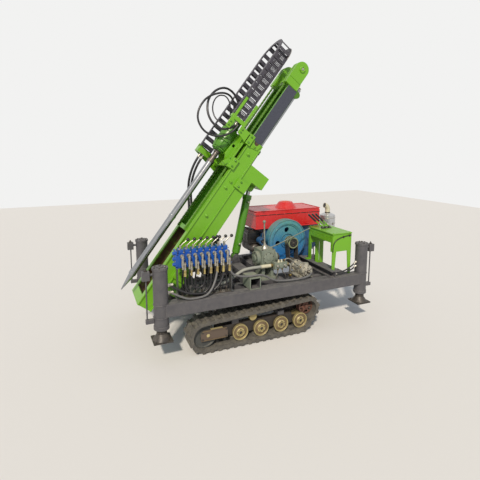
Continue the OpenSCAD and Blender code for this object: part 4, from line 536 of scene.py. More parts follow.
# %% Greased sides of the inner mast
tree, place = begin("greased_mast_steel")
sideways = add(tree, "Math", {0: add(tree, "SeparateXYZ", {0: place}, "Y")}, operation="ABSOLUTE")
smear = add(tree, "TexNoise", {"Vector": place, "Scale": 34.0, "Detail": 7.0, "Roughness": 0.7})
greased = add(tree, "MapRange", {0: sideways, 1: 147 * MM, 2: 149 * MM})
streak = add(tree, "Mix", {0: smear, 6: linear("#474a58"), 7: linear("#30323d")}, 2, data_type="RGBA")
green = add(tree, "Mix", {0: smear, 6: linear("#66a524"), 7: linear("#4a821c")}, 2, data_type="RGBA")
coat = add(tree, "Mix", {0: greased, 6: green, 7: streak}, 2, data_type="RGBA")
coat, rounded = worn_and_highlit(tree, place, coat, "#9aa08f", 0.7, 2.5)
shine = add(tree, "MapRange", {0: smear, 1: 0.3, 2: 0.7, 3: 0.28, 4: 0.5})
close(tree, Base_Color=coat, Roughness=shine, Normal=rounded)
print("finishes:", len(finish))

# %% [markdown]
# The structural pieces come bare. Each gets the finish that its real piece has, and so does each hose.

# %% Finishes on the structural pieces and hoses
dress = {
    "chassis_grey_enamel": "chassis_frame leg_tubes undercarriage lock_valves",
    "tank_grey_enamel": "oil_tank idler_wheels",
    "blackened_steel": "leg_rod_front_near leg_rod_front_far leg_rod_rear_near leg_rod_rear_far",
    "dull_steel": "spindle_adaptor",
    "zinc_plated_steel": "valve_fittings",
    "track_rubber": "track_near track_far",
    "roller_zinc_plate": "track_rollers",
    "rusty_iron": "drive_sprockets",
    "shaded_dark_frame_enamel": "track_frames",
    "leaf_green_enamel": "mast_support chain_bracket sheave_heads head_carriage chain_fork operator_console",
    "green_enamel_dark_inside": "mast_outer",
    # the cylinders and the head take the green that is partly painted shade
    "shaded_deep_green_enamel": "derrick_barrel rotary_head",
    "greased_green_enamel": "feed_barrel feed_chains chain_sheaves",
    "greased_mast_steel": "mast_inner",
    "hard_chrome": "feed_rod drill_rod derrick_rod",
    "moulded_nylon": "drag_chain_bend drag_chain_near drag_chain_far valve_levers",
    "belt_rubber": "drive_belts",
    "valve_blue_enamel": "valve_bank",
    "shaded_engine_blue_enamel": "engine_block",
    "flywheel_enamel": "engine_flywheel",
    "hopper_red_enamel": "water_hopper",
    "silver_lacquer": "air_cleaner",
    "cast_aluminium": "hydraulic_pump",
    "cast_iron": "pump_pulley",
    "gearbox_primer": "gearbox",
}
for name, nodes in dress.items():
    for node in nodes.split():
        parts[node].data.materials.clear()
        parts[node].data.materials.append(finish[name])
# the leg-lift and pump hoses take the lighter grey that paints their sheen
hose_finish = {"suction_hose": "suction_hose_rubber", "pump_hose": "sheen_grey_hose_rubber",
               "leg_lift_hose": "sheen_grey_hose_rubber"}
for name, (made, points) in hoses.items():
    made.data.materials.append(finish[hose_finish.get(name, "hose_rubber")])
print("dressed", sum(len(n.split()) for n in dress.values()), "of", len(parts))

# %% [markdown]
# ## Small turned, bent and welded pieces
# Most fittings are turned on a lathe, so one helper spins a profile round an axis. Pipes and weld beads follow a
# line, so a second one sweeps a round section along it, and the radius may change on the way. Plates are outlines
# with a thickness. All of them work on one mesh, the bench.

# %% Turned, swept and flat shapes on the bench
bench = bmesh.new()


def circle(centre, axis, radius, count, spin=0.0, along=None):
    """Points round an axis, radius mm from the centre. The first is turned on by spin steps."""
    axis = Vector(axis).normalized()
    along = (axis.orthogonal() if along is None else along).normalized()
    turns = [math.tau * (k + spin) / count for k in range(count)]
    return [centre + (along * math.cos(t) + axis.cross(along) * math.sin(t)) * radius * MM for t in turns]


def skin(rings):
    """Joins rings of points with faces and closes both ends."""
    rings = [[bench.verts.new(p) for p in ring] for ring in rings]
    for low, high in zip(rings, rings[1:]):
        for k in range(len(low)):
            bench.faces.new((low[k - 1], low[k], high[k], high[k - 1]))
    bench.faces.new(rings[0][::-1])
    bench.faces.new(rings[-1])


def turned(foot, axis, profile, sides=24):
    """Spins a profile of (radius, height) in mm round an axis that starts at foot."""
    axis = Vector(axis).normalized()
    skin([circle(foot + axis * height * MM, axis, radius, sides) for radius, height in profile])


def swept(points, radius, sides=10):
    """Sweeps a round section along points. The radius in mm is a number, or a function of the point's number."""
    side, rings = None, []
    for i, point in enumerate(points):
        heading = (points[min(i + 1, len(points) - 1)] - points[max(i - 1, 0)]).normalized()
        side = (heading.orthogonal() if side is None else side - heading * side.dot(heading)).normalized()
        rings.append(circle(point, heading, radius(i) if callable(radius) else radius, sides, along=side))
    skin(rings)


def slab(corners, thickness):
    """A flat plate: its outline, as points, and the vector of its thickness."""
    skin([corners, [c + thickness for c in corners]])


def box(low, high, place=row):
    """A block between two opposite corners, in mm on the machine or on the mast."""
    (a, b, c), (d, e, f) = low, high
    slab([place(*p) for p in ((a, b, c), (d, b, c), (d, e, c), (a, e, c))], place(a, b, f) - place(a, b, c))


print("bench ready, with", len(bench.verts), "points on it")

# %% [markdown]
# Bolts, weld beads and rings come up again and again, and each is a few turned or swept shapes. `piece` then takes
# all that lies on the bench as one named piece that rides on one body, with faces sharp only at real edges.

# %% Bolts, beads, rings and pieces
SHARP_EDGE = math.radians(38)


def bolt(seat, axis, across=17):
    """A washer, a hexagon head as wide as a spanner's jaw, and a domed top, standing on a seat."""
    turned(seat, axis, [(across * 0.66, 0), (across * 0.66, 2)], 20)
    turned(seat, axis, [(across * 0.577, 2), (across * 0.577, across * 0.5), (across * 0.5, across * 0.58)], 6)
    turned(seat, axis, [(across * 0.3, across * 0.5), (across * 0.26, across * 0.72)], 10)


def bolt_ring(centre, axis, radius, count, across, spin=0.0):
    """Bolts spaced evenly round an axis."""
    for seat in circle(centre, axis, radius, count, spin):
        bolt(seat, axis, across)


def bead(start, end, radius=4.0):
    """A weld bead: one swell for each pause of the welder's hand, about every 7 mm, thinner at both ends."""
    count = max(4, int((end - start).length / (3.5 * MM)))
    swept([start.lerp(end, i / count) for i in range(count + 1)],
          lambda i: radius * (0.35 if i in (0, count) else (0.82, 1.08)[i % 2]), 8)


def hoop(centre, axis, radius, thick, sides=40, swell=1.0):
    """A closed ring of round section. With swell it becomes a weld bead that runs round a tube."""
    ring = circle(centre, axis, radius, sides)
    swept(ring + ring[:1], lambda i: thick * (swell if i % 2 else 1.0), 8)


def piece(name, material, body="chassis"):
    """Takes the bench's mesh as a piece of the machine with one finish, riding on a body."""
    bmesh.ops.recalc_face_normals(bench, faces=bench.faces)
    mesh = bpy.data.meshes.new(name)
    bench.to_mesh(mesh)
    bench.clear()
    mesh.shade_smooth()
    mesh.set_sharp_from_angle(angle=SHARP_EDGE)
    mesh.materials.append(finish[material])
    made = bpy.data.objects.new(name, mesh)
    bpy.context.scene.collection.objects.link(made)
    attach(made, body)
    print(name, "faces", len(mesh.polygons))
    return made


print("edges count as sharp from", round(math.degrees(SHARP_EDGE)), "degrees")

# %% [markdown]
# ## Hose ends
# A hose is held in its fitting by a steel shell pressed on with eight jaws, which leave flats, between a hexagon nut
# and a plain lip. The shells on the valve bank's upper row are long and dull, those on the lower row are short and
# passivated yellow, so they get two finishes.

# %% Crimped shells and swivel nuts
def hose_end(port, heading, hose_mm, shell_mm):
    """A swivel nut at the port, a neck, and the crimped shell that grips the hose."""
    r, waist = hose_mm / 2, shell_mm * 0.45
    turned(port, heading, [(r * 1.5, -4), (r * 1.62, -3), (r * 1.62, 9), (r * 1.5, 10.5)], 6)
    turned(port, heading, [(r * 1.12, 10), (r * 1.12, 14), (r * 1.42, 15.5), (r * 1.34, 18), (r * 1.34, 10 + waist),
                           (r * 1.42, 12 + waist), (r * 1.34, 14 + waist), (r * 1.34, 6 + shell_mm),
                           (r * 1.46, 8 + shell_mm), (r * 1.4, 10 + shell_mm), (r * 1.02, 10.5 + shell_mm)], 16)


def crimp(name, ends, hose_mm, shell_mm):
    """Fits shells to the named hose: at its first end, "a", at its last, "b", or at both."""
    for end in ends:
        port, after = hoses[name][1][::1 if end == "a" else -1][:2]
        hose_end(port, after - port, hose_mm, shell_mm)


for name, ends, size in (("hose_loop_outer", "ab", 18), ("hose_loop_inner", "ab", 13), ("leg_lift_hose", "b", 18),
                         ("leg_lower_hose", "b", 18), ("pump_hose", "a", 18)):
    crimp(name, ends, size, 36)
# the third port is plugged
hose_end(lower_port(2), -UP, 18, 30)
turned(lower_port(2), -UP, [(9, 30), (9, 44), (7, 46)], 16)
piece("lower_hose_ends", "yellow_zinc_plate")

for i in range(8):
    hose_end(section(i, -453, 756), -UP, 14, 30)
    # the elbow's swivel nut at the section's face, and the hexagon of its body
    turned(section(i, -425, 818), NEAR, [(15, -1), (16.5, 0), (16.5, 11), (15, 12.5)], 6)
    turned(section(i, -453, 805), UP, [(12, 0), (13, 1), (13, 9), (12, 10)], 6)
    turned(lower_port(i) + row(0, 20, 54), NEAR, [(13.5, -1), (15, 0), (15, 9), (13.5, 10.5)], 6)
piece("upper_hose_ends", "zinc_plated_steel")

box((-775, -452, 475.2), (-340, -398, 480.2))
for i in range(8):
    turned(section(i, -419, 480), UP, [(13, 0), (13, 3), (11.5, 3), (11.5, 9), (8.2, 10), (9.2, 12), (8.6, 24),
                                       (9.2, 36), (6.7, 38)], 12)
piece("bulkhead_plate", "dull_steel")

crimp("head_pressure_hose", "ab", 20, 30)
crimp("head_drain_hose", "ab", 12, 30)
piece("head_hose_ends", "zinc_plated_steel", "carriage")

crimp("mast_hose_1", "ab", 18, 34)
crimp("mast_hose_2", "ab", 18, 34)
# the block on the mast's web that the two hoses enter, and its bolts
box((700, 170.2, -110), (752, 200.2, -46), mast)
for s in (712, 740):
    bolt(mast(s, 200, -78), ACROSS, 13)
piece("mast_hose_ends", "zinc_plated_steel", "mast")

for name, ends, size, shell in (("rear_leg_hose_1", "ab", 13, 24), ("rear_leg_hose_2", "ab", 13, 24),
                                ("leg_lift_hose", "a", 18, 30), ("leg_lower_hose", "a", 18, 30),
                                ("pump_hose", "b", 18, 30)):
    crimp(name, ends, size, shell)
piece("chassis_hose_ends", "zinc_plated_steel")

# %% [markdown]
# ## The drag chain
# A drag chain is a row of nylon links that carries the hoses to the moving head. Its two straight runs shorten and
# lengthen as the head travels. Each is a copy of the structural run, and the links' hinge pins and the cover's snap
# catches are added to the same mesh.

# %% Chain runs with their hinge pins
BEND_S, BEND_Y, LINK = 2500, -11, 70


def hinge(s, y):
    """The heads of a hinge pin, on the chain's front and back."""
    for n, way in ((144, -1), (269, 1)):
        turned(mast(s, y, n), OUT_OF_MAST * way, [(11, 0), (11, 2.4), (6, 3.4)], 12)


def chain_run(name, node, from_s, to_s, y, outside):
    """Copies a run, adds a pin at every hinge on both plates and the snap catches, and takes the run's place."""
    made = parts[node].copy()
    made.data = parts[node].data.copy()
    made.name = name
    bpy.context.scene.collection.objects.link(made)
    made.data.transform(parts[node].matrix_world)
    made.parent = None
    made.matrix_world = Matrix.Identity(4)
    bench.from_mesh(made.data)
    s0, s1 = sorted((from_s, to_s))
    count = round((s1 - s0) / LINK)
    for i in range(count + 1):
        hinge(s0 + (s1 - s0) * min(max(i, 0.12), count - 0.12) / count, y)
        for k in (0.2, 0.8) if i < count else ():
            catch = s0 + (s1 - s0) * (i + k) / count
            slab([mast(catch + a, y + outside * 21, n) for a, n in ((-4, 152), (4, 152), (4, 162), (-4, 162))],
                 row(0, outside * 4, 0))
    bench.to_mesh(made.data)
    bench.clear()
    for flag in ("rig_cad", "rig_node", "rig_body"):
        if flag in made:
            del made[flag]
    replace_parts(made, node)
    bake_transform(made)
    print(name, "links", count, "faces", len(made.data.polygons))


chain_run("drag_chain_near_run", "drag_chain_near", BEND_S, 1800, -162, -1)
chain_run("drag_chain_far_run", "drag_chain_far", 1450, BEND_S, 140, 1)

# %% [markdown]
# The bend at the top keeps its structural shape. Its end links get a steel rim, which in the photograph shows as a
# thin light line, and its pins follow the half circle.

# %% Pins and rim of the chain's bend
def round_bend(count, radius):
    """Places s, y that divide the bend's half circle into count steps."""
    turns = [math.pi * (k / count - 0.5) for k in range(count + 1)]
    return [(BEND_S + radius * math.cos(t), BEND_Y + radius * math.sin(t)) for t in turns]


for s, y in round_bend(6, 151):
    hinge(s, y)
piece("chain_bend_pins", "moulded_nylon", "inner_mast")
swept([mast(s, y, 146) for s, y in round_bend(24, 174)], 2.2, 6)
piece("chain_bend_rim", "zinc_plated_steel", "inner_mast")

# %% [markdown]
# ## The rotary head
# The head is an iron casting with two flanges. The gearcase and the motor are held by rings of bolts, and the fitter
# leaves a grease nipple where the spindle's bearing sits.

# %% Bolts, nipples, covers and ribs of the head
HEAD_AXIS = 139
for s, way, radius, count, across, spin in ((1601, 1, 86, 12, 11, 0.5), (1683, -1, 86, 12, 11, 0.5),
                                            (1729, 1, 47.5, 4, 8, 0.5), (1815, 1, 31, 6, 9, 0.0)):
    bolt_ring(mast(s, 0, HEAD_AXIS), UP_MAST * way, radius, count, across, spin)
for side in (-1, 1):
    turned(mast(1521, side * 68, HEAD_AXIS + 4), ACROSS * side, [(5, -2), (5, 4), (3, 5), (3, 9), (4, 10), (2, 13)], 8)
piece("head_bolts", "shaded_deep_green_enamel", "carriage")

# elbow at the motor's side port that takes the slanting return hose, and the raised cover plates of the gearcase
turned(mast(1785, 0, HEAD_AXIS + 40), OUT_OF_MAST, [(15, 0), (15, 6), (11, 7), (11, 10)], 6)
for side in (-1, 1):
    turned(mast(1642, side * 78, HEAD_AXIS + 6), ACROSS * side, [(26, 0), (26, 5), (22, 6.5)], 28)
    for seat in circle(mast(1642, side * 83, HEAD_AXIS + 6), ACROSS * side, 20, 5, along=UP_MAST):
        turned(seat, ACROSS * side, [(3.4, 0), (3.4, 2.4)], 6)
# casting ribs down the bell, all round apart from its back
for k in (0, 1, 2, 3, 4, 7):
    t = math.tau * (k + 0.5) / 8
    radial = ACROSS * math.cos(t) + OUT_OF_MAST * math.sin(t)
    half = radial.cross(UP_MAST) * 3 * MM
    slab([mast(s, 0, HEAD_AXIS) + radial * r * MM - half
          for s, r in ((1512, 60), (1512, 69), (1584, 90), (1584, 74))], half * 2)
piece("head_ribs", "shaded_deep_green_enamel", "carriage")

# %% [markdown]
# ## Carriage, fork and sheave heads
# The claws that grip the mast's flanges are bolted from the side, the fork's two bars carry cap screws and the hose
# clamps, and each sheave's pin has a keeper plate so that it cannot turn. The head block is welded all round.

# %% Fasteners of the carriage, sheave pins and seams
for s in (1422, 1478, 1682, 1738):
    for side in (-1, 1):
        bolt(mast(s, side * 193, 8), ACROSS * side, 15)
        bolt(mast(s, side * 146, 42), OUT_OF_MAST, 15)
for s, n in ((1690, 247), (1726, 247), (1706, 118), (1734, 118)):
    bolt(mast(s, -195.4, n), NEAR, 13)
for s in (1672, 1742):
    bolt(mast(s, -152, 52), OUT_OF_MAST, 13)
# plates that clamp the hoses to the ledge
for n in (178, 228):
    box((1768, -184.6, n - 20), (1772, -140.6, n + 20), mast)
piece("carriage_bolts", "shaded_deep_green_enamel", "carriage")

SHEAVE_S, SHEAVE_N = 2554, -36
for side in (-1, 1):
    turned(mast(SHEAVE_S, side * 166, SHEAVE_N), ACROSS * side,
           [(30, -14), (30, 0.5), (27, 2.5), (19, 2.5), (19, 1)], 30)
    for t in (math.tau * (k + 0.25) / 3 for k in range(3)):
        seat = mast(SHEAVE_S + 23.5 * math.cos(t), side * 168.2, SHEAVE_N + 23.5 * math.sin(t))
        bolt(seat, ACROSS * side, 8)
piece("sheave_keepers", "leaf_green_enamel", "inner_mast")
for side in (-1, 1):
    turned(mast(SHEAVE_S, side * 166, SHEAVE_N), ACROSS * side, [(12, 0), (12, 4), (6, 4.4)], 20)
    turned(mast(SHEAVE_S, side * 169, SHEAVE_N), ACROSS * side, [(3.2, 0), (3.2, 5), (2, 8)], 8)
    bolt(mast(2400, side * 28, -150), ACROSS * side, 13)
# the feed rod's locknut
turned(mast(2458, 0, -184), UP_MAST, [(20, 0), (20, 8), (17, 10)], 6)
turned(mast(2468, 0, -184), UP_MAST, [(13.5, 0), (13.5, 16), (11, 19)], 16)
piece("sheave_pins", "zinc_plated_steel", "inner_mast")
for y, start, end, radius in ((150.5, (2361, -98), (2361, 8), 4), (158.8, (2431, -104), (2431, 32), 3.5),
                              (156, (2363, -108), (2429, -108), 4), (29, (2370, -168), (2370, -110), 4)):
    for side in (-y, y):
        bead(mast(start[0], side, start[1]), mast(end[0], side, end[1]), radius)
piece("head_block_welds", "leaf_green_enamel", "inner_mast")

# %% [markdown]
# ## The feed chains
# Each sheave carries a leaf of roller chain. The structural chain has its plates as blocks, so pins and rollers are
# laid over them: a pin every 19 mm, and an outer plate with waists on every second link.

# %% Pins and plates of the feed chains
CHAIN_PITCH, FIRST_PIN = 19.05, 738
for side in (-1, 1):
    for i in range(94):
        s = FIRST_PIN + CHAIN_PITCH * i
        for edge in (-1, 1):
            turned(mast(s, side * (108 + edge * 8), 16), ACROSS * edge * side, [(4.2, -1), (4.2, 2.2), (3, 3)], 8)
            if i % 2 == 0:
                slab([mast(s + a, side * 108 + edge * 8.2, 16 + n) for a, n in (
                    (-5, -7.5), (24, -7.5), (27, 0), (24, 7.5), (-5, 7.5), (-8, 0))], row(0, edge * 1.2, 0))
piece("feed_chain_pins", "greased_green_enamel", "inner_mast")

# %% [markdown]
# ## Tracks
# The rollers are pressed discs with a welded hub, plated and then rubbed by sand: the rim stays bright, the web
# behind it rusts and the hub's ring shines. A black plug closes each bearing. The tensioner's guard plate is bolted
# on, with a grease valve that pushes the idler forward.

# %% Roller webs, hub rings, plugs and guard bolts
ROLLERS, ROLLER_Z = [(-265 + 197 * i, side) for i in range(4) for side in (-1, 1)], 110.3
for x, side in ROLLERS:
    turned(row(x, side * 480, ROLLER_Z), ACROSS * side, [(59, -1), (59, 0.8), (41, 3), (38, 6)], 40)
for side in (-1, 1):
    for z in (112, 190):
        box((-612, side * 507, z - 3), (-398, side * 512, z + 3))
piece("roller_webs", "roller_web_rust")
for x, side in ROLLERS:
    hoop(row(x, side * 488, ROLLER_Z), ACROSS * side, 66.5, 2.4)
    turned(row(x, side * 480, ROLLER_Z), ACROSS * side, [(38, 3), (37, 9), (34, 12), (28, 12.5), (25.5, 8)], 36)
for side in (-1, 1):
    turned(row(-560, side * 507, 150), ACROSS * side, [(15, 0), (15, 3), (9, 4), (9, 10), (7, 11)], 6)
    turned(row(-560, side * 507, 150), ACROSS * side, [(3, 10), (3, 16), (4, 17), (2, 20)], 8)
    box((-537, side * 487, 196.2), (-433, side * 507, 198.7))
piece("roller_hubs", "pale_hub_zinc")
for x, side in ROLLERS:
    for t in (math.tau * (k + 0.3) / 5 for k in range(5)):
        seat = row(x + 31 * math.cos(t), side * 492, ROLLER_Z + 31 * math.sin(t))
        turned(seat, ACROSS * side, [(3.6, 0), (3.6, 3)], 6)
    turned(row(x, side * 480, ROLLER_Z), ACROSS * side,
           [(13.6, -2), (13.6, 10), (11, 12), (5.4, 12), (5.4, 15), (4, 16)], 18)
for side in (-1, 1):
    for x, z in ((-607, 120), (-403, 120), (-607, 182), (-403, 182)):
        bolt(row(x, side * 507, z), ACROSS * side, 13)
piece("roller_plugs", "blackened_steel")

# %% [markdown]
# ## Legs
# Each leg is a hydraulic cylinder in a tube that is welded through the side beam. The cap is screwed down on its top,
# a gland with a wiper closes the bottom, and the foot turns on a ball under a retaining ring.

# %% Caps, glands, weld rings and foot bolts
LEGS = {"front_near": (-930, -480), "front_far": (-930, 480), "rear_near": (1000, -480), "rear_far": (1000, 480)}
for x, y in LEGS.values():
    turned(row(x, y, 768), UP, [(26, 0), (26, 5), (22, 8), (12, 8)])
    for z, radius, thick in ((476, 58.5, 3.6), (373, 58.5, 3.6), (752, 60, 3.2)):
        hoop(row(x, y, z), UP, radius, thick, 46, 0.7)
    turned(row(x, y, 276), -UP, [(54, 0), (54, 5), (44, 9), (36.5, 9)], 30)
piece("leg_caps", "chassis_grey_enamel")
for x, y in LEGS.values():
    bolt_ring(row(x, y, 768), UP, 48, 6, 10, 0.5)
    bolt_ring(row(x, y, 271), -UP, 49, 6, 7)
    turned(row(x, y, 768), UP, [(9, 8), (9, 15), (7, 17)], 6)
    valve = row(x + math.copysign(109, x), y, 746)
    turned(valve, UP, [(13, 0), (13, 9), (11, 11)], 6)
    turned(valve, UP, [(4, 10), (4, 24), (3, 25)], 10)
    turned(valve, UP, [(8, 13), (8, 18)], 6)
piece("leg_fasteners", "blackened_steel")
for leg, (x, y) in LEGS.items():
    for a, b in ((-58, -58), (-58, 58), (58, -58), (58, 58)):
        bolt(row(x + a, y + b, 192), UP, 13)
    turned(row(x, y, 240), UP, [(37, 0), (41, 2), (41, 9), (37, 11)], 28)
    piece(f"foot_bolts_{leg}", "blackened_steel", f"leg_{leg}")

# %% [markdown]
# ## Valve levers
# A spool valve is worked through a short linkage: a clevis on the section's top, a pin, and a lever that leans
# towards the engine, with a black ball screwed on its end. They take the place of the structural levers.

# %% Linkages, ball knobs and screws
for i in range(8):
    base = section(i, -372, 862)
    turned(base, UP, [(11, -3), (11, 3), (7.5, 5), (7.5, 12)], 12)
    for side in (-1, 1):
        slab([base + row(a, side * 6, b) for a, b in ((-7, 10), (7, 10), (7, 24), (3, 29), (-3, 29), (-7, 24))],
             row(0, side * 3, 0))
    turned(base + row(0, -13, 22), ACROSS, [(3.6, 0), (3.6, 26)], 10)
    swept([base + row(x, 0, z) for x, z in ((0, 14), (12, 32), (34, 50), (58, 65))], lambda k: (5.2, 5, 4.4, 4.2)[k])
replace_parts(piece("lever_linkages", "zinc_plated_steel"), "valve_levers")
for i in range(8):
    turned(section(i, -372, 924) + row(55, 0, 0), row(1, 0, 0.8), [
        (4.5, 0), (6, 3), (8, 4.5), (12, 8), (14, 13), (14.4, 17), (13, 22), (9.5, 26.5), (4, 29)], 20)
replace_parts(piece("lever_knobs", "black_phenolic"), "valve_levers")
# screws that tie the sections together
for i in range(8):
    for z in (738, 787, 846):
        turned(section(i, -420, z) + row(17, 0, 0), NEAR, [(5.5, 0), (5.5, 4), (4.5, 5)], 12)
    for y in (-400, -335):
        turned(section(i, y, 862) - row(14, 0, 0), UP, [(6, 0), (6, 5), (5, 6)], 6)
piece("valve_screws", "zinc_plated_steel")

# %% [markdown]
# ## Engine
# The engine is a horizontal single-cylinder diesel. On its flywheel side it has a belt pulley with a deep hub. The
# pulley is cast and then turned, so its ring, its hollow and its nut are profiles spun round the crankshaft's axis.
# The hollow is closed by a flat black disc that paints the shade inside the deep hub.

# %% Pulley face and flywheel rings
CRANK_X, CRANK_Z = 460, 734
face = row(CRANK_X, -122, CRANK_Z)
turned(face, NEAR, [(55, -3), (55, 2), (52, 4), (46.5, 4), (44.5, 1)], 40)
piece("pulley_ring", "pulley_enamel", "flywheel")
# a flat black disc: painted shade inside the pulley's deep hub
turned(face, NEAR, [(44, 0.8), (44, 1.4)], 36)
piece("pulley_hollow_shade_disc", "black_phenolic", "flywheel")
turned(face, NEAR, [(14, 1), (14, 4), (12, 5)], 6)
bolt_ring(face + NEAR * 1.4 * MM, NEAR, 28, 3, 8, 0.3)
hoop(row(CRANK_X, 2, CRANK_Z), ACROSS, 205, 2.2, 72)
piece("pulley_nut", "dull_steel", "flywheel")
for radius, sides in ((172, 72), (74, 48)):
    hoop(row(CRANK_X, 1, CRANK_Z), ACROSS, radius, 3.5, sides)
piece("flywheel_rings", "flywheel_enamel", "flywheel")

# %% [markdown]
# On top sits a red hopper of pressed sheet, whose edges are folded round a wire, with a black strip under the lip
# that paints the lip's shadow. A rounded bar along each side gives the fold its soft highlight. The water cap has
# twelve grips round its edge.

# %% Hopper lip, painted shadow under it, cap and screws
def hopper_edge(z, radius):
    """A rounded edge along the hopper's four sides."""
    corners = [row(x, y, z) for x, y in ((140, 82), (900, 82), (900, 436), (140, 436))]
    for start, end in zip(corners, corners[1:] + corners[:1]):
        swept([start, end], radius, 8)


for z, radius in ((1036, 4.5), (1000, 3), (858, 4)):
    hopper_edge(z, radius)
for x in (250, 420, 740):
    box((x - 22, 78.8, 872), (x + 22, 82, 990))
piece("hopper_lip", "hopper_red_enamel")
# a black strip just under the lip: the lip's painted shadow
hopper_edge(994, 3.4)
piece("hopper_lip_shadow_strip", "black_phenolic")
turned(row(580, 260, 1084), UP, [(46, 0), (46, 12), (42, 16), (20, 19)], 32)
for seat in circle(row(580, 260, 1085), UP, 45, 12, along=AHEAD):
    turned(seat, UP, [(4, 0), (4, 11), (3, 12)], 8)
piece("hopper_cap", "cap_orange_enamel")
for z in (862, 996):
    for x in range(180, 880, 96):
        turned(row(x, 82, z), NEAR, [(5, 0), (5, 3), (3, 4.4)], 10)
piece("hopper_screws", "hopper_red_enamel")

# %% [markdown]
# The air cleaner is a plated can, held together by three bands with spring clips. Its elbow is painted ivory and
# follows a quarter circle, so it is swept along one, with a rolled rim round its open mouth.

# %% Air cleaner bands, clips and elbow
CLEANER = (1075, 180)
for z in (790, 838, 902):
    hoop(row(*CLEANER, z), UP, 85.5, 3.2, 48)
for t in (3.6, 4.9, 0.6):
    out = AHEAD * math.cos(t) + ACROSS * math.sin(t)
    slab([row(*CLEANER, z) + (out * 85 + UP.cross(out) * a) * MM
          for a, z in ((-7, 826), (7, 826), (7, 850), (-7, 850))], out * 6 * MM)
piece("cleaner_bands", "zinc_plated_steel")
elbow = [row(*CLEANER, z) for z in (949, 970, 990)]
for k in range(1, 11):
    t = math.radians(8 * k)
    elbow.append(row(1025 + 50 * math.cos(t), 180, 990 + 50 * math.sin(t)))
mouth = elbow[-1] - elbow[-2]
swept(elbow, 27.3, 28)
hoop(elbow[-1], mouth, 26.5, 2.6, 32)
piece("cleaner_elbow", "ivory_lacquer")

# %% [markdown]
# The crankcase and the timing cover are closed with rows of screws. A fuel filter hangs at the front, with the pipe
# to the injection pump. Beside it the silencer lies across the crankcase on two straps. All are plain turned shapes,
# so they are profiles spun round an axis, and the two pipes are swept.

# %% Fuel filter, silencer, engine screws and fuel pipes
turned(elbow[-1] + mouth.normalized() * MM, mouth, [(23.5, -1), (23.5, 0.6)], 28)
turned(row(*CLEANER, 953), UP, [(29.5, 0), (29.5, 9)], 28)
turned(row(196, 78, 556), UP, [(26, 0), (33, 6), (33, 84), (28, 92), (10, 94), (10, 104)], 28)
piece("fuel_filter", "black_phenolic")
turned(row(164, 118, 640), ACROSS, [(20, -34), (20, -4), (40, 0), (48, 8), (48, 262), (40, 270), (20, 274), (20, 330)],
       32)
for y in (170, 330):
    turned(row(164, y, 640), ACROSS, [(50, 0), (50, 22)], 32)
    box((164, y, 680), (232, y + 22, 688))
piece("silencer", "blackened_steel")

bolt_ring(row(292, 86, 730), NEAR, 46, 7, 9, 0.2)
bolt_ring(row(201, 40, 734), NEAR, 26, 5, 8)
turned(row(201, 40, 734), NEAR, [(13, 0), (13, 9), (9, 11)], 6)
for x in range(250, 650, 56):
    for z in (532, 834):
        bolt(row(x, 102, z), NEAR, 10)
for x in (250, 430, 610, 800):
    bolt(row(x, 84, 515), UP, 17)
for y in (160, 226, 304, 370):
    for z in (590, 830):
        turned(row(915, y, z), AHEAD, [(11, 0), (11, 12), (5, 13), (5, 22)], 6)
swept(smooth([(196, 78, 656), (196, 76, 690), (214, 80, 760), (232, 96, 820), (260, 101, 836)]), 4, 8)
swept(smooth([(660, 124, 820), (700, 110, 838), (780, 112, 838), (850, 128, 800), (884, 130, 760)]), 3.2, 8)
piece("engine_bolts", "dull_steel")

# %% [markdown]
# ## Gearbox and pump
# The gearbox is a cast case with a round cover on each side, each closed by a ring of screws. The pump behind the
# belt is held by screws at its three flanges, and both stand on the frame on bolted feet.

# %% Covers and screws
turned(row(90, -300, 668), NEAR, [(52, -2), (52, 6), (46, 9), (20, 9), (18, 13), (12, 14)], 36)
turned(row(-12, -220, 660), -AHEAD, [(32, -2), (32, 8), (28, 10), (14, 10)], 30)
for x in (26, 154):
    box((x - 4, -307, 610), (x + 4, -300, 735))
hoop(row(90, -300, 668), NEAR, 58, 3, 36)
piece("gearbox_covers", "gearbox_primer")
for centre, axis, radius, count, across, spin in (
        (row(90, -306, 668), NEAR, 46, 7, 8, 0), (row(-12, -220, 660), -AHEAD, 54, 8, 10, 0),
        (row(206, -220, 650), AHEAD, 40, 6, 9, 0), (row(476, -376, 515), NEAR, 34, 6, 8, 0),
        (row(476, -352, 515), NEAR, 50, 6, 9, 0.5), (row(476, -172, 515), NEAR, 52, 4, 11, 0.5)):
    bolt_ring(centre, axis, radius, count, across, spin)
turned(row(206, -220, 650), AHEAD, [(17, -1), (17, 12), (34, 13), (34, 24), (17, 26), (17, 34)])
turned(row(476, -376, 515), NEAR, [(20, -1), (20, 5), (16, 7)])
for x, y, z in ((36, -286, 745), (36, -154, 745), (144, -286, 745), (144, -154, 745),
                (418, -300, 453), (418, -160, 453), (534, -300, 453), (534, -160, 453)):
    bolt(row(x, y, z), UP, 12)
piece("gearbox_bolts", "blackened_steel")

# %% [markdown]
# ## Rods and pipes
# The shift rod runs across the front of the flywheel to the console. The suction hose, taped where it is clamped,
# ends at a cast block beside the gearbox, from which steel pipes with brass nuts lead to the pump and down to the
# frame. Pipes are bent cold over a roller, so each is swept along a smooth line.

# %% Shift rod, suction block, pipes, nuts and lever
swept([row(169, -206, 742), row(300, -176, 771), row(460, -136, 809), row(600, -100, 843), row(668, -84, 858)], 5)
for seat in (row(150, -211, 738), row(652, -88, 854)):
    turned(seat, Vector((1, 0.2, 0.2)), [(9, 0), (10, 2), (10, 20), (7, 23)], 6)
slab([row(x, -214, z) for x, z in ((140, 724), (160, 724), (164, 748), (146, 754))], row(0, 6, 0))
piece("control_rod", "gearbox_primer")

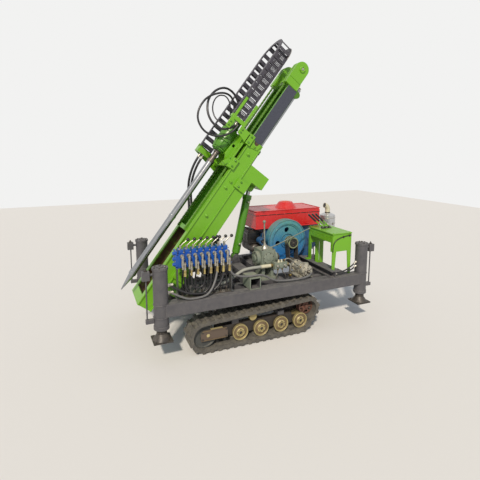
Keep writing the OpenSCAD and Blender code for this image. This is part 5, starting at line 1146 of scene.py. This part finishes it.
slab([row(x, -310, z) for x, z in ((124, 588), (132, 580), (242, 580), (250, 588), (250, 624), (242, 632), (132, 632),
                                   (124, 624))], row(0, -52, 0))
for x in (128, 246):
    box((x - 5, -366, 574), (x + 5, -306, 638))
turned(row(188, -362, 606), NEAR, [(22, -1), (22, 10), (18, 13), (12, 13)], 28)
piece("suction_block", "gearbox_primer")

for radius, sides, places in (
        (11, 14, [(250, -336, 606), (284, -336, 604), (299, -336, 584), (301, -335, 530), (302, -334, 476)]),
        (6, 10, [(236, -330, 632), (262, -322, 652), (312, -314, 640), (372, -312, 584), (430, -312, 545)]),
        (6, 10, [(160, -352, 580), (158, -353, 540), (148, -353, 510), (146, -352, 476)]),
        (5, 10, [(206, -352, 580), (212, -354, 540), (240, -352, 512), (246, -350, 476)])):
    swept(smooth(places), radius, sides)
for x, r in ((150, 12), (226, 14)):
    turned(row(x, -362, 606), NEAR, [(r, -1), (r, 8), (r - 3, 10), (r - 4, 10), (r - 4, 18)], 6)
piece("steel_pipes", "zinc_plated_steel")
for seat, axis, r in ((row(96, -324, 606), AHEAD, 18), (row(254, -336, 606), AHEAD, 17), (row(302, -334, 486), UP, 17),
                      (row(236, -330, 640), UP, 10), (row(160, -352, 566), UP, 10), (row(206, -352, 566), UP, 9),
                      (row(424, -312, 548), Vector((0.8, 0, -0.5)), 10)):
    turned(seat, axis, [(r * 0.85, -2), (r, 0), (r, r), (r * 0.85, r * 1.1), (r * 0.7, r * 1.1), (r * 0.7, r * 1.5)], 6)
piece("pipe_nuts", "brass")

swept(smooth([(x, -324, 606) for x in (2, 30, 60, 98)]), lambda i: 16.5 if i % 2 else 17.6, 20)
for x in (176, 206):
    turned(row(x, -336, 632), UP, [(11, -1), (11, 6), (9, 8), (9, 22), (7, 24)], 20)
piece("hose_wrap", "ivory_lacquer")
turned(row(90, -220, 745), UP, [(37, -2), (36, 3), (15, 34), (12, 36), (12, 50), (9, 52)], 28)
swept([row(89, -220, 790), row(84, -220, 978)], 7, 14)
piece("shift_lever", "zinc_plated_steel")

# %% [markdown]
# The near end of the cross tube has the grey-green of primer, unlike the rest, perhaps because it was painted again
# after welding. A thin coat laid over the tube's open faces gives a sharp edge where the primer stops.

# %% Painted end of the cross tube
for x in (-181.5, -81.5):
    box((x, -491, 475.5), (x + 3, -340, 576))
box((-181.5, -491, 575), (-78.5, -340, 576.5))
piece("tube_sleeve", "gearbox_primer")

# %% [markdown]
# The starter battery stands on a folded tray in front of the crankcase. Its case is moulded with ribs, and its lid
# carries six filler caps and two terminals. The case is three blocks, so that the lid's lip stands out.

# %% Battery and its tray
for inset, low, high in ((0, 704, 796), (-4, 796, 812), (8, 812, 824)):
    box((84 + inset, 156 + inset, low), (216 - inset, 384 - inset, high))
for k in range(6):
    turned(row(150, 184 + 34 * k, 824), UP, [(11, -1), (11, 5), (8, 7)], 16)
    for x, out in ((84, 81), (216, 219)):
        box((x, 173 + 36 * k, 708), (out, 179 + 36 * k, 792))
piece("battery", "black_phenolic")
box((78, 150, 699), (231, 390, 704))
for y in (176, 352):
    slab([row(x, y, z) for x, z in ((100, 699), (231, 699), (231, 600))], row(0, 8, 0))
    turned(row(110, y + 4, 824), UP, [(8, -1), (8, 12), (6, 13)], 14)
piece("battery_tray", "blackened_steel")

# %% [markdown]
# ## Console
# The three levers on the console have black grips and rubber boots, and a thin cable is clipped along its near side.
# A grip follows its lever from foot to tip, so both are measured from the same two points.

# %% Grips, boots, cable and its clips
for i in range(3):
    foot, tip = row(822 - 40 * i, -213, 877), row(662 - 42 * i, -193, 1027)
    along = tip - foot
    turned(foot, UP, [(20, -1), (20, 3), (15, 5)], 20)
    turned(foot + along * 0.02, along, [(15, 0), (13, 5), (14, 8), (11, 13), (12, 16), (8.5, 22)], 18)
    turned(foot + along * 0.5, along, [(7, 0), (9.5, 3), (9.5, 104), (8, 110), (4, 113)], 16)
swept(smooth([(x, -459, z) for x, z in ((683, 700), (685, 745), (692, 778), (714, 808), (760, 830), (820, 843),
                                        (890, 849))]), 4.2)
for x, z in ((800, 839), (868, 847)):
    box((x - 5, -464, z - 9), (x + 5, -455, z + 9))
piece("console_cable", "black_phenolic")
for x in (684, 884):
    for z in (690, 862):
        bolt(row(x, -455, z), NEAR, 10)
for x in (690, 876):
    for y in (-452, -68):
        bolt(row(x, y, 877), UP, 10)
piece("console_bolts", "leaf_green_enamel")

# %% [markdown]
# ## Frame welds
# The frame is welded from channel and box section. The beads show where the cross members meet the side beams, and
# the cross tube's ends, sawn square, have a bright rim. Each bead runs from one corner of a joint to the next.

# %% Weld beads and the tube's rims
for side in (-1, 1):
    for x in (-640, -540, 120, 220, 760, 860):
        bead(row(x, side * 300, 476), row(x, side * 429, 476), 3.5)
    for x in (-180, -80):
        bead(row(x, side * 431, 477), row(x, side * 489, 477), 3.5)
    for x in (-640, 120, 760):
        bead(row(x, side * 429.5, 475.5), row(x + 100, side * 429.5, 475.5), 3.5)
for y in (-330, -170):
    bead(row(126, y, 475), row(214, y, 475), 3)
piece("frame_welds", "chassis_grey_enamel")
for side in (-1, 1):
    for x0, z0, x1, z1 in ((-180, 475, -80, 482), (-180, 568, -80, 575), (-180, 482, -173, 568), (-87, 482, -80, 568)):
        box((x0, side * 490, z0), (x1, side * 492, z1))
piece("tube_rims", "gearbox_primer")

# %% [markdown]
# ## Mast fasteners
# Screws through the mast's web press wear pads against the inner mast, each locked by a jam nut. The clamps on the
# support are bolted, the tilt pins have keeper plates, and nipples grease every pin.

# %% Pad screws, clamp bolts, keepers and nipples
def nipple(seat, axis):
    """A grease nipple: a hexagon, a waist and a ball."""
    turned(seat, axis, [(5, 0), (5, 4.5), (3, 5), (2.6, 9), (3.6, 10.5), (3.2, 13), (1.6, 14)], 6)


for side in (-1, 1):
    out = ACROSS * side
    for s in (520, 940, 1240, 1600):
        seat = mast(s, side * 170, -62)
        turned(seat, out, [(17, 0), (17, 3), (13, 4), (13, 12), (11, 13)], 6)
        turned(seat, out, [(7, 12), (7, 20), (5.5, 21)], 12)
    nipple(mast(1310, side * 184, -68.5), out)
    nipple(mast(1690, side * 184, -68.5), out)
piece("pad_screws", "leaf_green_enamel", "mast")
for side in (-1, 1):
    out = ACROSS * side
    for s in (362, 408, 1312, 1358):
        bolt(mast(s, side * 195, -150), out, 15)
    turned(mast(270, side * 176, -185), out, [(31, -1), (31, 4), (27, 6), (8, 6)], 30)
    bolt_ring(mast(270, side * 181, -185), out, 20, 3, 8)
    nipple(mast(270, side * 182, -185), out)
piece("support_bolts", "shaded_deep_green_enamel", "support")

# %% [markdown]
# The derrick cylinder leans between two pins, so its gland's rings and its two ports are placed along the line
# between them, measured back from the gland's face.

# %% Gland rings and ports of the derrick cylinder
LOWER_PIN, UPPER_PIN, GLAND_Z = row(-120, 0, 630), mast(1392, 0, -325), 1.233
derrick_axis = (UPPER_PIN - LOWER_PIN).normalized()
gland = LOWER_PIN + derrick_axis * ((GLAND_Z - LOWER_PIN.z) / derrick_axis.z - 14 * MM)
for back in (22, 36):
    hoop(gland - derrick_axis * back * MM, derrick_axis, 43.5, 2.4, 36)
for back in (60, 470):
    turned(gland - derrick_axis * back * MM, NEAR, [(17, 30), (17, 48), (14, 50)])
piece("derrick_rings", "shaded_deep_green_enamel", "derrick_cylinder")
for back in (60, 470):
    turned(gland - derrick_axis * back * MM, NEAR, [(11, 49), (11, 58), (8, 60), (8, 66)], 6)
piece("derrick_ports", "zinc_plated_steel", "derrick_cylinder")
